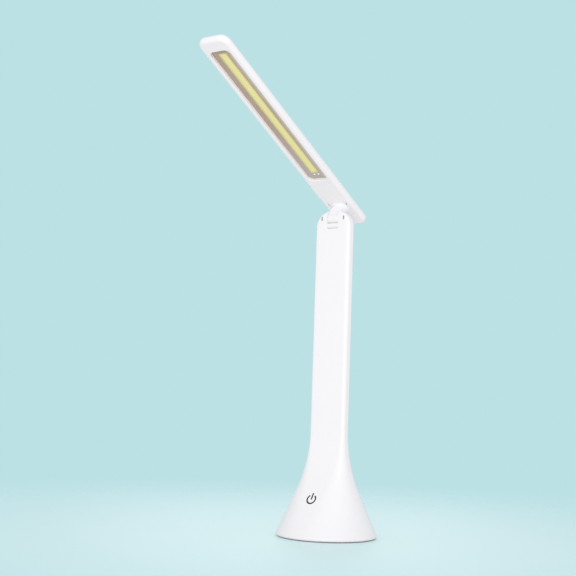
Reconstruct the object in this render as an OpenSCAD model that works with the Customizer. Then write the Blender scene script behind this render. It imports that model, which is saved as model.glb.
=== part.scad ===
// Folding LED desk lamp: a flat upright that flares into a round weighted foot, and a
// slim light bar on a single friction hinge that folds down along the front of the upright.
// Millimetres. +Z is up, the front is -Y, and the origin is the centre of the foot's
// underside on the table.

/* [Foot] */
// Diameter of the round foot
base_d = 85; // [84:0.5:110]
// Radius that rounds the foot's lower rim
rim_r = 1.8; // [1:0.1:2]
// Shadow gap between the table and the foot's rim
rim_gap = 0.6; // [0.5:0.1:2]
// Slope of the foot's cone, measured from the vertical
cone_angle = 26.4; // [22:0.1:32]
// Radius of the sweep that turns the cone into the upright
sweep_r = 114; // [100:1:150]
// Height at which the sweep meets the upright
sweep_z = 88.5; // [84:0.5:100]
// Thickness of the base plate
plate_t = 2.8; // [2.6:0.1:3.2]
// Thickness of the rubber foot pad
pad_t = 1.4; // [1.2:0.1:1.6]
// Thickness of the steel ballast disc
ballast_t = 4.5; // [3:0.1:5]

/* [Upright] */
// Width of the upright
stem_w = 35; // [33:0.5:40]
// Thickness of the upright
stem_t = 9; // [9:0.1:11]
// Radius of the upright's four long edges
stem_r = 3; // [1:0.1:4]
// Height of the upright's top
stem_top = 276.5; // [240:0.5:320]
// Radius of the two corners at the upright's top
crown_r = 14; // [8:0.5:16]
// Wall of the upright and the foot
wall = 2; // [1.8:0.1:2.2]
// Width of the rear cover
cover_w = 26; // [24:0.5:27]
// Height of the rear cover
cover_h = 158; // [100:1:160]
// Thickness of the rear cover's outer skin
cover_t = 1; // [0.8:0.1:1.2]

/* [Hinge] */
// Distance of the hinge axis below the upright's top
axis_drop = 6.5; // [6:0.1:8]
// Radius of the neck's knuckle
knuckle_r = 4.3; // [4:0.05:4.4]
// Width of the neck's knuckle
knuckle_w = 11.2; // [10:0.1:12]
// Thickness of the neck above the knuckle
neck_t = 8; // [7:0.1:8]
// Height of the light bar's underside above the hinge axis
neck_rise = 12.5; // [11:0.1:16]
// Depth of the front notch below the hinge axis
front_notch = 9; // [6:0.1:12]
// Depth of the rear notch below the hinge axis
rear_notch = 2.5; // [2:0.1:3]
// Depth below the hinge axis at which the front notch's sloping web starts
web_drop = 4.4; // [4.2:0.1:5]
// Radius of the hinge pins
pin_r = 1.5; // [1:0.05:1.6]
// Angle of the light bar above the horizontal
tilt = 28.8; // [0:0.1:60]

/* [Light bar] */
// Length of the light bar
bar_l = 234; // [220:1:260]
// Width of the light bar
bar_w = 29; // [28:0.5:34]
// Thickness of the light bar
bar_t = 6.5; // [6.4:0.1:8]
// Corner radius of the light bar, seen from above
bar_corner_r = 8; // [6:0.5:13]
// Length of the light bar behind the hinge axis
bar_rear = 26.5; // [20:0.5:30]
// Height of the seam above the bar's underside
seam_h = 4.2; // [4:0.1:4.4]
// Wall of the light bar
bar_wall = 1.2; // [1:0.1:1.4]

/* [Lamp] */
// Length of the opening over the light strip
window_l = 157.5; // [120:0.5:162]
// Width of the opening
window_w = 19; // [16:0.5:20]
// Corner radius of the opening
window_r = 4.5; // [2:0.5:7]
// Distance from the hinge axis to the near end of the opening
window_start = 37.5; // [30:0.5:50]
// Depth of the opening
window_depth = 2.6; // [2:0.1:2.8]
// Distance between the phosphor strip's far end and the opening's far end
strip_gap = 4; // [3:0.5:10]
// Distance between the phosphor strip's near end and the opening's near end
near_gap = 7.5; // [3:0.5:10]
// Width of the phosphor strip
strip_w = 8; // [5:0.5:9]
// Thickness of the phosphor strip
strip_t = 0.6; // [0.4:0.1:0.9]
// Thickness of the aluminium board
board_t = 1; // [0.8:0.1:1.2]

/* [Power] */
// Width of the battery cell
cell_w = 34; // [28:0.5:34]
// Depth of the battery cell
cell_d = 20; // [14:0.5:20]
// Height of the battery cell
cell_h = 8; // [5:0.5:9]
// Width of the main board
pcb_w = 28; // [24:0.5:29]
// Thickness of the main board
pcb_t = 1.6; // [1:0.1:1.8]
// Height of the touch icon's centre
icon_z = 32.5; // [26:0.5:40]
// Radius of the touch icon's ring
icon_r = 4.6; // [3:0.1:5.5]
// Line width of the touch icon
icon_line = 1.3; // [0.8:0.1:1.6]

/* [Fasteners] */
// Radius of the screws that hold the foot together
screw_r = 1.25; // [1:0.05:1.4]
// Radius of the small screws in the cover, the boards and the neck
small_screw_r = 0.8; // [0.6:0.05:0.9]

/* [Fits] */
// Running clearance of the hinge pins, on the radius
run_fit = 0.04; // [0.02:0.01:0.08]
// Clearance between pieces that are only placed together
loose = 0.2; // [0.1:0.05:0.3]

/* [Hidden] */

white = [0.96, 0.96, 0.97];
steel = [0.72, 0.73, 0.75];
rubber = [0.15, 0.15, 0.16];
board_green = [0.1, 0.4, 0.25];
chip_black = [0.08, 0.08, 0.09];
round_fn = 64;
tiny = 0.01;
cut = 1;
thread_gap = 0.05;

// ---- flare of the foot ----
rim_z = rim_gap + rim_r;
flare_r0 = base_d / 2 - rim_r * (1 - cos(cone_angle));
flare_z0 = rim_z + rim_r * sin(cone_angle);
arc_drop = sweep_r * sin(cone_angle);
arc_run = sweep_r * (1 - cos(cone_angle));
flare_rows = 12;
rim_rows = 4;
corner_steps = 12;

// How far the sweep has run outwards at a drop below its start
function sweep_run(drop) = drop < arc_drop
    ? sweep_r - sqrt(sweep_r * sweep_r - drop * drop)
    : arc_run + (drop - arc_drop) * tan(cone_angle);

// Share of the way from the upright's section (0) to the foot's circle (1) at a height
function flare_at(z) = z >= sweep_z ? 0
    : sweep_run(sweep_z - max(z, flare_z0)) / sweep_run(sweep_z - flare_z0);

function blend(from, to, share) = from + (to - from) * share;
function half_w(z) = blend(stem_w / 2, flare_r0, flare_at(z));
function half_t(z) = blend(stem_t / 2, flare_r0, flare_at(z));
function edge_r(z) = blend(stem_r, flare_r0, flare_at(z));

// Points of a rounded rectangle with half sizes a and b, at the corners' mid angles
function rounded(a, b, r, steps) = [
    for (corner = [0:3], i = [0:steps - 1])
        let (turn = 90 * corner + 90 * (i + 0.5) / steps,
             sx = corner == 0 || corner == 3 ? 1 : -1,
             sy = corner < 2 ? 1 : -1)
            [sx * (a - r) + r * cos(turn), sy * (b - r) + r * sin(turn)]
];

// A flat outline lifted to a height and moved along Y
function ring_at(points, y, z) = [for (p = points) [p[0], p[1] + y, z]];

// Ring of the foot and upright at a height, drawn in by an inset
function body_ring(z, inset) = ring_at(
    rounded(half_w(z) - inset, half_t(z) - inset, max(edge_r(z) - inset, tiny), corner_steps), 0, z);

function disc_ring(r, z) = ring_at(rounded(r, r, r, corner_steps), 0, z);

flare_levels = [for (i = [0:flare_rows - 1]) blend(flare_z0, sweep_z, i / (flare_rows - 1))];
rim_rings = [
    for (i = [0:rim_rows - 1])
        let (turn = blend(-90, cone_angle, i / rim_rows))
            disc_ring(base_d / 2 - rim_r + rim_r * cos(turn), rim_z + rim_r * sin(turn))
];

// ---- hinge: pins fixed in the neck turn in the upright's two cheeks ----
axis_z = stem_top - axis_drop;
notch_w = knuckle_w + 2 * loose;
washer_t = 1;
washer_r = 3.4;
bearing_x = notch_w / 2 + washer_t;
side_play = 0.05;
clip_t = 0.8;
clip_r = 2.8;
groove_depth = 0.4;
clip_groove_r = pin_r - groove_depth;
clip_x = 11.1;
clip_slot_w = 1.6;
clip_slot_h = 3.6;
clip_play = 0.6;
clip_pocket_h = 2 * (clip_r + clip_play);
pin_end_x = 14;
solid_top_h = 18;
web_top_y = -4.3;
web_foot_y = -1.4;
solid_top_z = axis_z - solid_top_h;

// ---- stack inside the foot ----
plate_drop = 0.2;
plate_gap = 0.9;
pad_margin = 2.4;
ballast_margin = 7.5;
plate_z = rim_gap - plate_drop;
plate_top = plate_z + plate_t;
plate_r = flare_r0 - wall - plate_gap;
pad_r = plate_r - pad_margin;
ballast_r = plate_r - ballast_margin;
ballast_top = plate_top + ballast_t;
boss_ring_r = 30;
boss_r = 3.2;
boss_angles = [45, 135, 225, 315];
screw_depth = 8;
head_r = 2.2;
head_h = 1;
small_head_r = 1.6;
small_head_h = 0.9;
small_screw_l = 3.4;
post_r = 2.2;
post_rise = 1;
post_top = ballast_top + post_rise;

// ---- battery and main board ----
pcb_front = -2;
pcb_top = post_top + pcb_t;
pcb_wall_gap = 1;
pcb_reach = half_t(pcb_top) - wall - pcb_wall_gap;
post_inset = 3.5;
post_x = pcb_w / 2 - post_inset;
tape_t = 0.5;
tape_inset = 2;
cell_z = ballast_top + tape_t;
cell_gap = 3;
cell_back = pcb_front - cell_gap;
cell_round = 1.5;
battery_lead_x = 6;
battery_lead_l = 4;
connector_w = 6;
connector_d = 4;
connector_h = 3.6;
lead_r = 0.6;
lead_gap_x = 0.75;
lead_side_gap = 0.1;
lead_end_gap = 2.2;
lead_y = stem_t / 2 - wall - lead_r - lead_side_gap;
lead_bore_r = 1.7;
lead_top = axis_z - knuckle_r - lead_end_gap;
part_y = 16;
chip_w = 7;
chip_h = 1;
inductor_r = 3;
inductor_h = 3.2;
part_x = 6;

// ---- charging port ----
port_w = 9;
port_h = 3.2;
port_l = 7.4;
port_wall = 0.35;
port_sink = 1;
socket_back = 1;
tongue_w = 6.4;
tongue_t = 0.7;
tongue_l = 5;
port_z = pcb_top + port_h / 2;
port_face_y = half_t(port_z) - port_sink;
port_ledge = 1.9;
pcb_back = port_face_y - port_ledge;
front_post_inset = 8;
rear_post_inset = 7;
post_rows = [pcb_front + front_post_inset, pcb_back - rear_post_inset];
pipe_r = 1;
pipe_x = 9.5;
pipe_l = 5;
pipe_sink = 0.6;
pipe_face_y = port_face_y - pipe_sink;

// ---- touch field on the front of the foot ----
slope_step = 1;
front_slope = (half_t(icon_z - slope_step) - half_t(icon_z + slope_step)) / (2 * slope_step);
front_lean = atan(front_slope);
icon_lift = 0.12;
icon_t = 0.18;
icon_gap = 35;
icon_bar_over = 1.2;
icon_bar_l = icon_r + icon_bar_over;
electrode_r = 6;
electrode_t = 0.4;
electrode_gap = 0.15;

// ---- rear cover ----
cover_top_gap = 3;
cover_top = solid_top_z - cover_top_gap;
cover_bottom = cover_top - cover_h;
cover_step = 2;
cover_screw_x = 8;
cover_screw_inset = 6;
cover_boss_r = 2.2;

// ---- light bar, in its own frame: hinge axis at the origin, tip towards -Y ----
bar_mid_y = bar_rear - bar_l / 2;
bar_edge_r = bar_t / 2;
bar_steps = 10;
edge_rows = 5;
lip_w = 1.1;
cavity_inset = bar_wall + lip_w;
window_y = -window_start - window_l / 2;
curb_t = 1.1;
collar_w = 15.4;
collar_d = 15.6;
collar_y = 1.8;
collar_h = 2.4;
collar_r = 6.4;
clamp_w = 15;
clamp_d = 16;
clamp_t = 1.3;
clamp_r = 2;
neck_screw_x = 3.9;
neck_bore_r = 2.2;
slit_x = 8.9;
slit_y = -3.4;
slit_w = 1;
slit_l = 3.6;
led_board_top = window_depth + board_t;
led_board_w = window_w + 2 * curb_t - loose;
led_board_l = window_l + 2 * curb_t - loose;
strip_round = 1.5;
solder_w = 2.2;
solder_l = 1.6;
solder_t = 0.3;
solder_x = 2;
solder_gap = 1.2;
foam_w = 6;
foam_margin = 20;
strip_l = window_l - strip_gap - near_gap;
strip_y = -window_start - near_gap - strip_l / 2;
foam_l = window_l - 2 * foam_margin;
cover_inner_h = bar_t - bar_wall;
head_lead_r = 0.5;
head_lead_x = 0.9;
head_lead_low = 5;

function edge_inset(h) = bar_edge_r - sqrt(bar_edge_r * bar_edge_r - pow(h - bar_edge_r, 2));

// Ring of the light bar's outline at a height above its underside
function bar_ring(h, inset) = ring_at(
    rounded(bar_w / 2 - inset, bar_l / 2 - inset, bar_corner_r - inset, bar_steps), bar_mid_y, h);

// Ring round the opening over the light strip, widened by a margin
function window_ring(h, margin) = ring_at(
    rounded(window_w / 2 + margin, window_l / 2 + margin, window_r + margin, bar_steps), window_y, h);

// Rings that follow the bar's round edge between two heights
function edge_rings(from, to) = [
    for (i = [0:edge_rows])
        let (h = bar_edge_r - bar_edge_r * cos(blend(acos(1 - from / bar_edge_r),
                                                     acos(1 - to / bar_edge_r), i / edge_rows)))
            bar_ring(h, edge_inset(h))
];

// Mesh between rings of equal length; the ends are capped, or the last ring joins the first
module loft(rings, closed = false) {
    n = len(rings);
    m = len(rings[0]);
    bands = closed ? n : n - 1;
    points = [for (ring = rings) each ring];
    sides = [
        for (i = [0:bands - 1], j = [0:m - 1])
            let (a = i * m + j, b = i * m + (j + 1) % m,
                 c = (i + 1) % n * m + j, d = (i + 1) % n * m + (j + 1) % m)
                each [[a, c, b], [b, c, d]]
    ];
    caps = closed ? [] : [[for (j = [0:m - 1]) j], [for (j = [m - 1:-1:0]) (n - 1) * m + j]];
    polyhedron(points = points, faces = concat(sides, caps), convexity = 8);
}

// Cylinders along one axis between two places
module along_x(x0, x1, r) {
    translate([x0, 0, 0]) rotate([0, 90, 0]) cylinder(h = x1 - x0, r = r, $fn = round_fn);
}

module along_y(y0, y1, r) {
    translate([0, y0, 0]) rotate([-90, 0, 0]) cylinder(h = y1 - y0, r = r, $fn = round_fn);
}

module along_z(z0, z1, r) {
    translate([0, 0, z0]) cylinder(h = z1 - z0, r = r, $fn = round_fn);
}

// Box centred on X, between two places in Y and in Z
module block(w, y0, y1, z0, z1) {
    translate([-w / 2, y0, z0]) cube([w, y1 - y0, z1 - z0]);
}

// Plate with rounded corners, centred on X and Y
module plate(w, d, r, z0, z1) {
    translate([-w / 2 + r, -d / 2 + r, z0]) linear_extrude(z1 - z0) {
        translate([0, -r]) square([w - 2 * r, d]);
        translate([-r, 0]) square([w, d - 2 * r]);
        for (x = [0, w - 2 * r], y = [0, d - 2 * r])
            translate([x, y]) circle(r = r, $fn = round_fn);
    }
}

// Outline with half-round ends
module slot_outline(w, h) {
    square([w - h, h], center = true);
    for (side = [-1, 1]) translate([side * (w - h) / 2, 0]) circle(r = h / 2, $fn = round_fn);
}

// Screw with its point down and the underside of its head at z = 0
module screw(r, l, big_r, big_h) {
    along_z(-l, tiny, r);
    along_z(0, big_h, big_r);
}

module small_screw() {
    screw(small_screw_r, small_screw_l, small_head_r, small_head_h);
}

module both_sides() {
    children();
    mirror([1, 0, 0]) children();
}

module at_bosses() {
    for (turn = boss_angles) rotate(turn) translate([boss_ring_r, 0, 0]) children();
}

module at_posts() {
    both_sides() for (y = post_rows) translate([post_x, y, 0]) children();
}

module at_cover_screws() {
    both_sides()
        for (z = [cover_bottom + cover_screw_inset, cover_top - cover_screw_inset])
            translate([cover_screw_x, 0, z]) children();
}

// Frame on the front wall at the touch field, with Z square to the wall
module on_front() {
    translate([0, -half_t(icon_z), icon_z]) rotate([90 - front_lean, 0, 0]) children();
}

// Frame of the light bar at its tilt, with the hinge axis at the origin
module in_bar() {
    translate([0, 0, axis_z]) rotate([-tilt, 0, 0]) children();
}

// Frame of the light bar with its underside at z = 0
module on_underside() {
    in_bar() translate([0, 0, neck_rise]) children();
}

// ---- foot and upright ----

module flare_wall() {
    outer = concat(rim_rings, [for (z = flare_levels) body_ring(z, 0)]);
    inner = [for (i = [flare_rows - 1:-1:0]) body_ring(flare_levels[i], wall)];
    mouth = [disc_ring(flare_r0 - wall, rim_gap)];
    loft(concat(outer, inner, mouth), closed = true);
}

// Screw bosses that hang from the foot's roof and end inside its wall
module foot_bosses() {
    intersection() {
        at_bosses() along_z(plate_top, sweep_z, boss_r);
        loft(concat([disc_ring(flare_r0 - wall / 2, plate_top)],
                    [for (z = flare_levels) body_ring(z, wall / 2)]));
    }
}

module stem_outline(inset) {
    polygon(rounded(stem_w / 2 - inset, stem_t / 2 - inset, max(stem_r - inset, tiny), corner_steps));
}

// Front view of the upright with its two large top corners
module crown_outline() {
    translate([-stem_w / 2, 0]) square([stem_w, stem_top - crown_r]);
    translate([-stem_w / 2 + crown_r, 0]) square([stem_w - 2 * crown_r, stem_top]);
    for (side = [-1, 1])
        translate([side * (stem_w / 2 - crown_r), stem_top - crown_r])
            circle(r = crown_r, $fn = round_fn);
}

// Room for the knuckle: open upwards, to the rear above a web, and to the front, where the
// web slopes back as it goes down
module knuckle_notch() {
    block(notch_w, -stem_t, stem_t, axis_z - rear_notch, stem_top + tiny);
    translate([-notch_w / 2, 0, axis_z]) rotate([90, 0, 90]) linear_extrude(notch_w)
        polygon([[-stem_t, -front_notch], [web_foot_y, -front_notch], [web_top_y, -web_drop],
                 [0, -web_drop], [0, 0], [-stem_t, 0]]);
    translate([0, 0, axis_z]) along_x(-notch_w / 2, notch_w / 2, knuckle_r + loose);
}

// Bearings for the pins, seats for the washers, and pockets and slots at the clips
module pin_seats() {
    translate([0, 0, axis_z]) both_sides() {
        along_x(0, bearing_x, washer_r + loose);
        along_x(0, pin_end_x + loose, pin_r + run_fit);
        translate([clip_x, 0, 0]) {
            block(clip_slot_w, -stem_t, 0, -clip_slot_h / 2, clip_slot_h / 2);
            block(clip_slot_w, -clip_r - loose, stem_t, -clip_pocket_h / 2, clip_pocket_h / 2);
        }
    }
}

// Stepped opening in the rear wall, or with a gap the cover that fills it
module rear_opening(gap, back) {
    block(cover_w - 2 * gap, stem_t / 2 - cover_t, back, cover_bottom + gap, cover_top - gap);
    block(cover_w - 2 * cover_step - 2 * gap, stem_t / 2 - wall, stem_t / 2 - cover_t + tiny,
          cover_bottom + cover_step + gap, cover_top - cover_step - gap);
}

module stem_tube() {
    difference() {
        intersection() {
            translate([0, 0, sweep_z]) linear_extrude(stem_top - sweep_z) stem_outline(0);
            rotate([90, 0, 0]) linear_extrude(2 * stem_t, center = true) crown_outline();
        }
        translate([0, 0, sweep_z - cut]) linear_extrude(solid_top_z - sweep_z + cut) stem_outline(wall);
        knuckle_notch();
        pin_seats();
        translate([0, lead_y, 0]) along_z(solid_top_z - cut, axis_z, lead_bore_r);
        rear_opening(0, stem_t);
    }
    at_cover_screws() difference() {
        along_y(-stem_t / 2 + wall / 2, stem_t / 2 - wall, cover_boss_r);
        along_y(-stem_t / 2 + wall, stem_t, small_screw_r + thread_gap);
    }
}

module port_opening() {
    translate([0, port_face_y - wall, port_z]) rotate([-90, 0, 0])
        linear_extrude(base_d / 2) slot_outline(port_w + 2 * loose, port_h + 2 * loose);
    translate([pipe_x, 0, port_z]) along_y(port_face_y - pipe_l, base_d, pipe_r + loose / 2);
}

module main_shell() {
    color(white) {
        difference() {
            union() {
                flare_wall();
                foot_bosses();
            }
            at_bosses() along_z(0, plate_top + screw_depth + cut, screw_r + thread_gap);
            port_opening();
        }
        stem_tube();
    }
}

module rear_cover() {
    color(white) difference() {
        rear_opening(loose / 2, stem_t / 2);
        at_cover_screws() {
            along_y(0, stem_t, small_screw_r + loose);
            along_y(stem_t / 2 - small_head_h - loose / 2, stem_t, small_head_r + loose);
        }
    }
}

module cover_screws() {
    color(steel) at_cover_screws()
        translate([0, stem_t / 2 - small_head_h - loose / 2, 0]) rotate([-90, 0, 0]) small_screw();
}

module base_plate() {
    color(white) difference() {
        union() {
            along_z(plate_z, plate_top, plate_r);
            at_posts() along_z(plate_top - tiny, post_top, post_r);
        }
        along_z(0, pad_t, pad_r + loose);
        at_bosses() {
            along_z(0, plate_top + cut, screw_r + loose);
            along_z(0, pad_t + head_h, head_r + loose);
        }
        at_posts() along_z(plate_top, post_top + cut, small_screw_r + thread_gap);
    }
}

module base_screws() {
    color(steel) at_bosses() translate([0, 0, pad_t + head_h]) mirror([0, 0, 1])
        screw(screw_r, screw_depth, head_r, head_h);
}

module foot_pad() {
    color(rubber) along_z(0, pad_t, pad_r);
}

module ballast_disc() {
    color(steel) difference() {
        along_z(plate_top, ballast_top, ballast_r);
        at_bosses() along_z(0, ballast_top + cut, boss_r + 2 * loose);
        at_posts() along_z(0, ballast_top + cut, post_r + 2 * loose);
    }
}

// ---- power ----

module battery_cell() {
    color("silver") translate([0, cell_back - cell_d / 2, 0])
        plate(cell_w, cell_d, cell_round, cell_z, cell_z + cell_h);
}

module battery_tape() {
    color(chip_black) translate([0, cell_back - cell_d / 2, 0])
        plate(cell_w - 2 * tape_inset, cell_d - 2 * tape_inset, cell_round, ballast_top, cell_z);
}

module battery_leads() {
    color("firebrick") both_sides() translate([battery_lead_x, 0, pcb_top + lead_r])
        along_y(cell_back, pcb_front + battery_lead_l, lead_r);
}

module main_board() {
    color(board_green) difference() {
        intersection() {
            block(pcb_w, pcb_front, pcb_back, post_top, pcb_top);
            along_z(post_top - cut, pcb_top + cut, pcb_reach);
        }
        at_posts() along_z(0, pcb_top + cut, small_screw_r + loose);
    }
}

module board_screws() {
    color(steel) at_posts() translate([0, 0, pcb_top]) small_screw();
}

module charging_socket() {
    color(steel) translate([0, port_face_y, port_z]) rotate([90, 0, 0]) {
        difference() {
            linear_extrude(port_l) slot_outline(port_w, port_h);
            translate([0, 0, -socket_back]) linear_extrude(port_l)
                slot_outline(port_w - 2 * port_wall, port_h - 2 * port_wall);
        }
        translate([-tongue_w / 2, -tongue_t / 2, port_l - socket_back - tongue_l])
            cube([tongue_w, tongue_t, tongue_l + tiny]);
    }
}

module charge_light_pipe() {
    color([0.9, 0.95, 1]) translate([pipe_x, 0, 0]) {
        translate([0, 0, port_z]) along_y(pipe_face_y - pipe_l, pipe_face_y, pipe_r);
        block(2 * pipe_r, pipe_face_y - pipe_l, pipe_face_y - pipe_l + 2 * pipe_r, pcb_top, port_z);
    }
}

module control_chip() {
    color(chip_black) translate([-part_x, part_y, 0])
        block(chip_w, -chip_w / 2, chip_w / 2, pcb_top, pcb_top + chip_h);
}

module boost_inductor() {
    color([0.3, 0.3, 0.32]) translate([part_x, part_y, 0])
        along_z(pcb_top, pcb_top + inductor_h, inductor_r);
}

module lead_connector() {
    color([0.93, 0.9, 0.8])
        block(connector_w, lead_y - connector_d / 2, lead_y + connector_d / 2,
              pcb_top, pcb_top + connector_h);
}

module stem_leads() {
    color(rubber) both_sides() translate([lead_gap_x, lead_y, 0])
        along_z(pcb_top + connector_h, lead_top, lead_r);
}

module touch_electrode() {
    color("peru") on_front() translate([0, 0, -wall * cos(front_lean) - electrode_gap - electrode_t])
        cylinder(h = electrode_t, r = electrode_r, $fn = round_fn);
}

// Power symbol: a ring left open at the top, with a bar through the gap
module touch_icon() {
    color(rubber) on_front() translate([0, 0, icon_lift]) {
        rotate([0, 0, 90 + icon_gap])
            rotate_extrude(angle = 360 - 2 * icon_gap, $fn = round_fn)
                translate([icon_r - icon_line / 2, 0]) square([icon_line, icon_t]);
        translate([-icon_line / 2, 0, 0]) cube([icon_line, icon_bar_l, icon_t]);
    }
}

// ---- hinge ----

module hinge_neck() {
    color(white) in_bar() difference() {
        union() {
            along_x(-knuckle_w / 2, knuckle_w / 2, knuckle_r);
            block(knuckle_w, -neck_t / 2, neck_t / 2, 0, neck_rise + bar_wall);
            translate([0, collar_y, 0])
                plate(collar_w, collar_d, collar_r, neck_rise - collar_h, neck_rise);
        }
        along_z(-2 * knuckle_r, neck_rise + bar_wall + cut, neck_bore_r);
        both_sides() {
            along_x(neck_bore_r / 2, knuckle_w, pin_r + tiny);
            translate([neck_screw_x, 0, neck_rise + bar_wall])
                along_z(-small_screw_l - cut, cut, small_screw_r + thread_gap);
        }
    }
}

module hinge_pins() {
    color(steel) in_bar() both_sides() difference() {
        along_x(neck_bore_r + loose, pin_end_x, pin_r);
        difference() {
            along_x(clip_x - clip_t / 2 - side_play, clip_x + clip_t / 2 + side_play, pin_r + cut);
            along_x(clip_x - clip_t, clip_x + clip_t, clip_groove_r);
        }
    }
}

// Open rings that snap into the pins' grooves
module pin_clips() {
    color(steel) in_bar() both_sides() difference() {
        along_x(clip_x - clip_t / 2, clip_x + clip_t / 2, clip_r);
        along_x(0, pin_end_x, clip_groove_r + tiny);
        translate([clip_x, 0, 0]) block(2 * clip_t, 0, 2 * clip_r, -clip_groove_r, clip_groove_r);
    }
}

module friction_washers() {
    color([0.85, 0.8, 0.65]) translate([0, 0, axis_z]) both_sides() difference() {
        along_x(knuckle_w / 2 + side_play, bearing_x - side_play, washer_r);
        along_x(0, bearing_x, pin_r + run_fit);
    }
}

module neck_plate() {
    color(steel) on_underside() difference() {
        plate(clamp_w, clamp_d, clamp_r, bar_wall, bar_wall + clamp_t);
        along_z(0, bar_t, neck_bore_r);
        both_sides() translate([neck_screw_x, 0, 0]) along_z(0, bar_t, small_screw_r + loose);
    }
}

module neck_screws() {
    color(steel) on_underside() both_sides()
        translate([neck_screw_x, 0, bar_wall + clamp_t]) small_screw();
}

// ---- light bar ----

module head_housing() {
    color(white) on_underside() difference() {
        loft(concat([window_ring(0, 0)], edge_rings(0, seam_h),
                    [bar_ring(seam_h, cavity_inset), bar_ring(bar_wall, cavity_inset),
                     window_ring(bar_wall, curb_t), window_ring(window_depth, curb_t),
                     window_ring(window_depth, 0)]), closed = true);
        block(knuckle_w + loose, -neck_t / 2 - loose / 2, neck_t / 2 + loose / 2, -cut, bar_wall + cut);
        both_sides() translate([slit_x, slit_y, 0])
            block(slit_w, -slit_l / 2, slit_l / 2, -cut, bar_wall + cut);
    }
}

module head_cover() {
    color(white) on_underside()
        loft(concat([bar_ring(cover_inner_h, cavity_inset), bar_ring(seam_h, cavity_inset)],
                    edge_rings(seam_h, bar_t)));
}

module led_board() {
    color("gainsboro") on_underside() translate([0, window_y, 0])
        plate(led_board_w, led_board_l, window_r + curb_t, window_depth, led_board_top);
}

module phosphor_strip() {
    color([0.92, 0.86, 0.5]) on_underside() translate([0, strip_y, 0])
        plate(strip_w, strip_l, strip_round, window_depth - strip_t, window_depth);
}

module solder_pads() {
    color("lightgray") on_underside() both_sides()
        translate([solder_x, -window_start - near_gap + solder_gap + solder_l / 2, 0])
            block(solder_w, -solder_l / 2, solder_l / 2, window_depth - solder_t, window_depth);
}

module board_foam() {
    color([0.4, 0.4, 0.42]) on_underside() translate([0, window_y, 0])
        block(foam_w, -foam_l / 2, foam_l / 2, led_board_top, cover_inner_h);
}

// Leads that rise through the neck and lie on the near end of the light board
module head_leads() {
    lead_h = neck_rise + led_board_top + head_lead_r;
    color("firebrick") in_bar() both_sides() translate([head_lead_x, 0, 0]) {
        along_z(head_lead_low, lead_h, head_lead_r);
        translate([0, 0, lead_h]) sphere(r = head_lead_r, $fn = round_fn);
        translate([0, 0, lead_h]) along_y(-window_start - near_gap, 0, head_lead_r);
    }
}

main_shell();
rear_cover();
cover_screws();
base_plate();
base_screws();
foot_pad();
ballast_disc();
battery_cell();
battery_tape();
battery_leads();
main_board();
board_screws();
charging_socket();
charge_light_pipe();
control_chip();
boost_inductor();
lead_connector();
touch_electrode();
touch_icon();
stem_leads();
hinge_neck();
hinge_pins();
pin_clips();
friction_washers();
neck_plate();
neck_screws();
head_housing();
head_cover();
led_board();
phosphor_strip();
solder_pads();
board_foam();
head_leads();
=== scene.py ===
"""Looks of the folding LED desk lamp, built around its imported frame.

Sizes in the classes are millimetres; meshes are metres. +Z is up, the front is -Y, and the
light bar has a frame of its own: hinge axis at the origin, tip towards -Y, underside at h = 0.
"""
import logging
import math
from dataclasses import dataclass, field
from enum import Enum
from typing import Any, Callable, Optional, Sequence, Union

import bmesh
import bpy
import numpy as np
from mathutils import Matrix


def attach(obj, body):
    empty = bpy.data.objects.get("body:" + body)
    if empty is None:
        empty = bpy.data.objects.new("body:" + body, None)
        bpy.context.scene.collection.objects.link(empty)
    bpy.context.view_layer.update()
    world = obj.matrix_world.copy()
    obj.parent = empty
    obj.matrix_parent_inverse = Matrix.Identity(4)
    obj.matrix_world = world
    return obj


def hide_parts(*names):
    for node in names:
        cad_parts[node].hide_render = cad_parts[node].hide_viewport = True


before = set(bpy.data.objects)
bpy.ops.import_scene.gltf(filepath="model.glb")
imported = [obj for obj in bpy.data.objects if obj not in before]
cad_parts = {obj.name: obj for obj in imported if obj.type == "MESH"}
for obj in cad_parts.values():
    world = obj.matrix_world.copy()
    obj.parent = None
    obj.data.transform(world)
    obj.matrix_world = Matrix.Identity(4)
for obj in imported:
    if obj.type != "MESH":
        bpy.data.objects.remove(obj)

Number = Union[float, np.ndarray]
Point = Sequence[float]
Piece = bpy.types.Object
Socket = bpy.types.NodeSocket

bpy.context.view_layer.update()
LOG = logging.getLogger("desk_lamp")
MM = 0.001
MERGE = 2e-7
CLEAR = 2.0
TINY = 0.01
CREASE = 35.0
QUARTER = math.pi / 2
ORIGIN = (0.0, 0.0, 0.0)
SIDES = (-1, 1)


class Axis(Enum):
    """Direction that a prism runs along, as the order in which its own axes are read."""

    X = (2, 0, 1)
    Y = (1, 2, 0)
    Z = (0, 1, 2)


class Cut(Enum):
    """How a second solid changes the first."""

    AWAY = "DIFFERENCE"
    JOIN = "UNION"


Changes = list[tuple[Cut, Piece]]


# ---------------------------------------------------------------- surfaces as arrays


def blend(start: Number, end: Number, share: Number) -> Number:
    """Value at a share of the way from start to end."""
    return start + (end - start) * share


def spread(start: float, end: float, steps: int) -> np.ndarray:
    """Evenly spaced values from start to end, both included."""
    return np.linspace(start, end, steps + 1)


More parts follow.
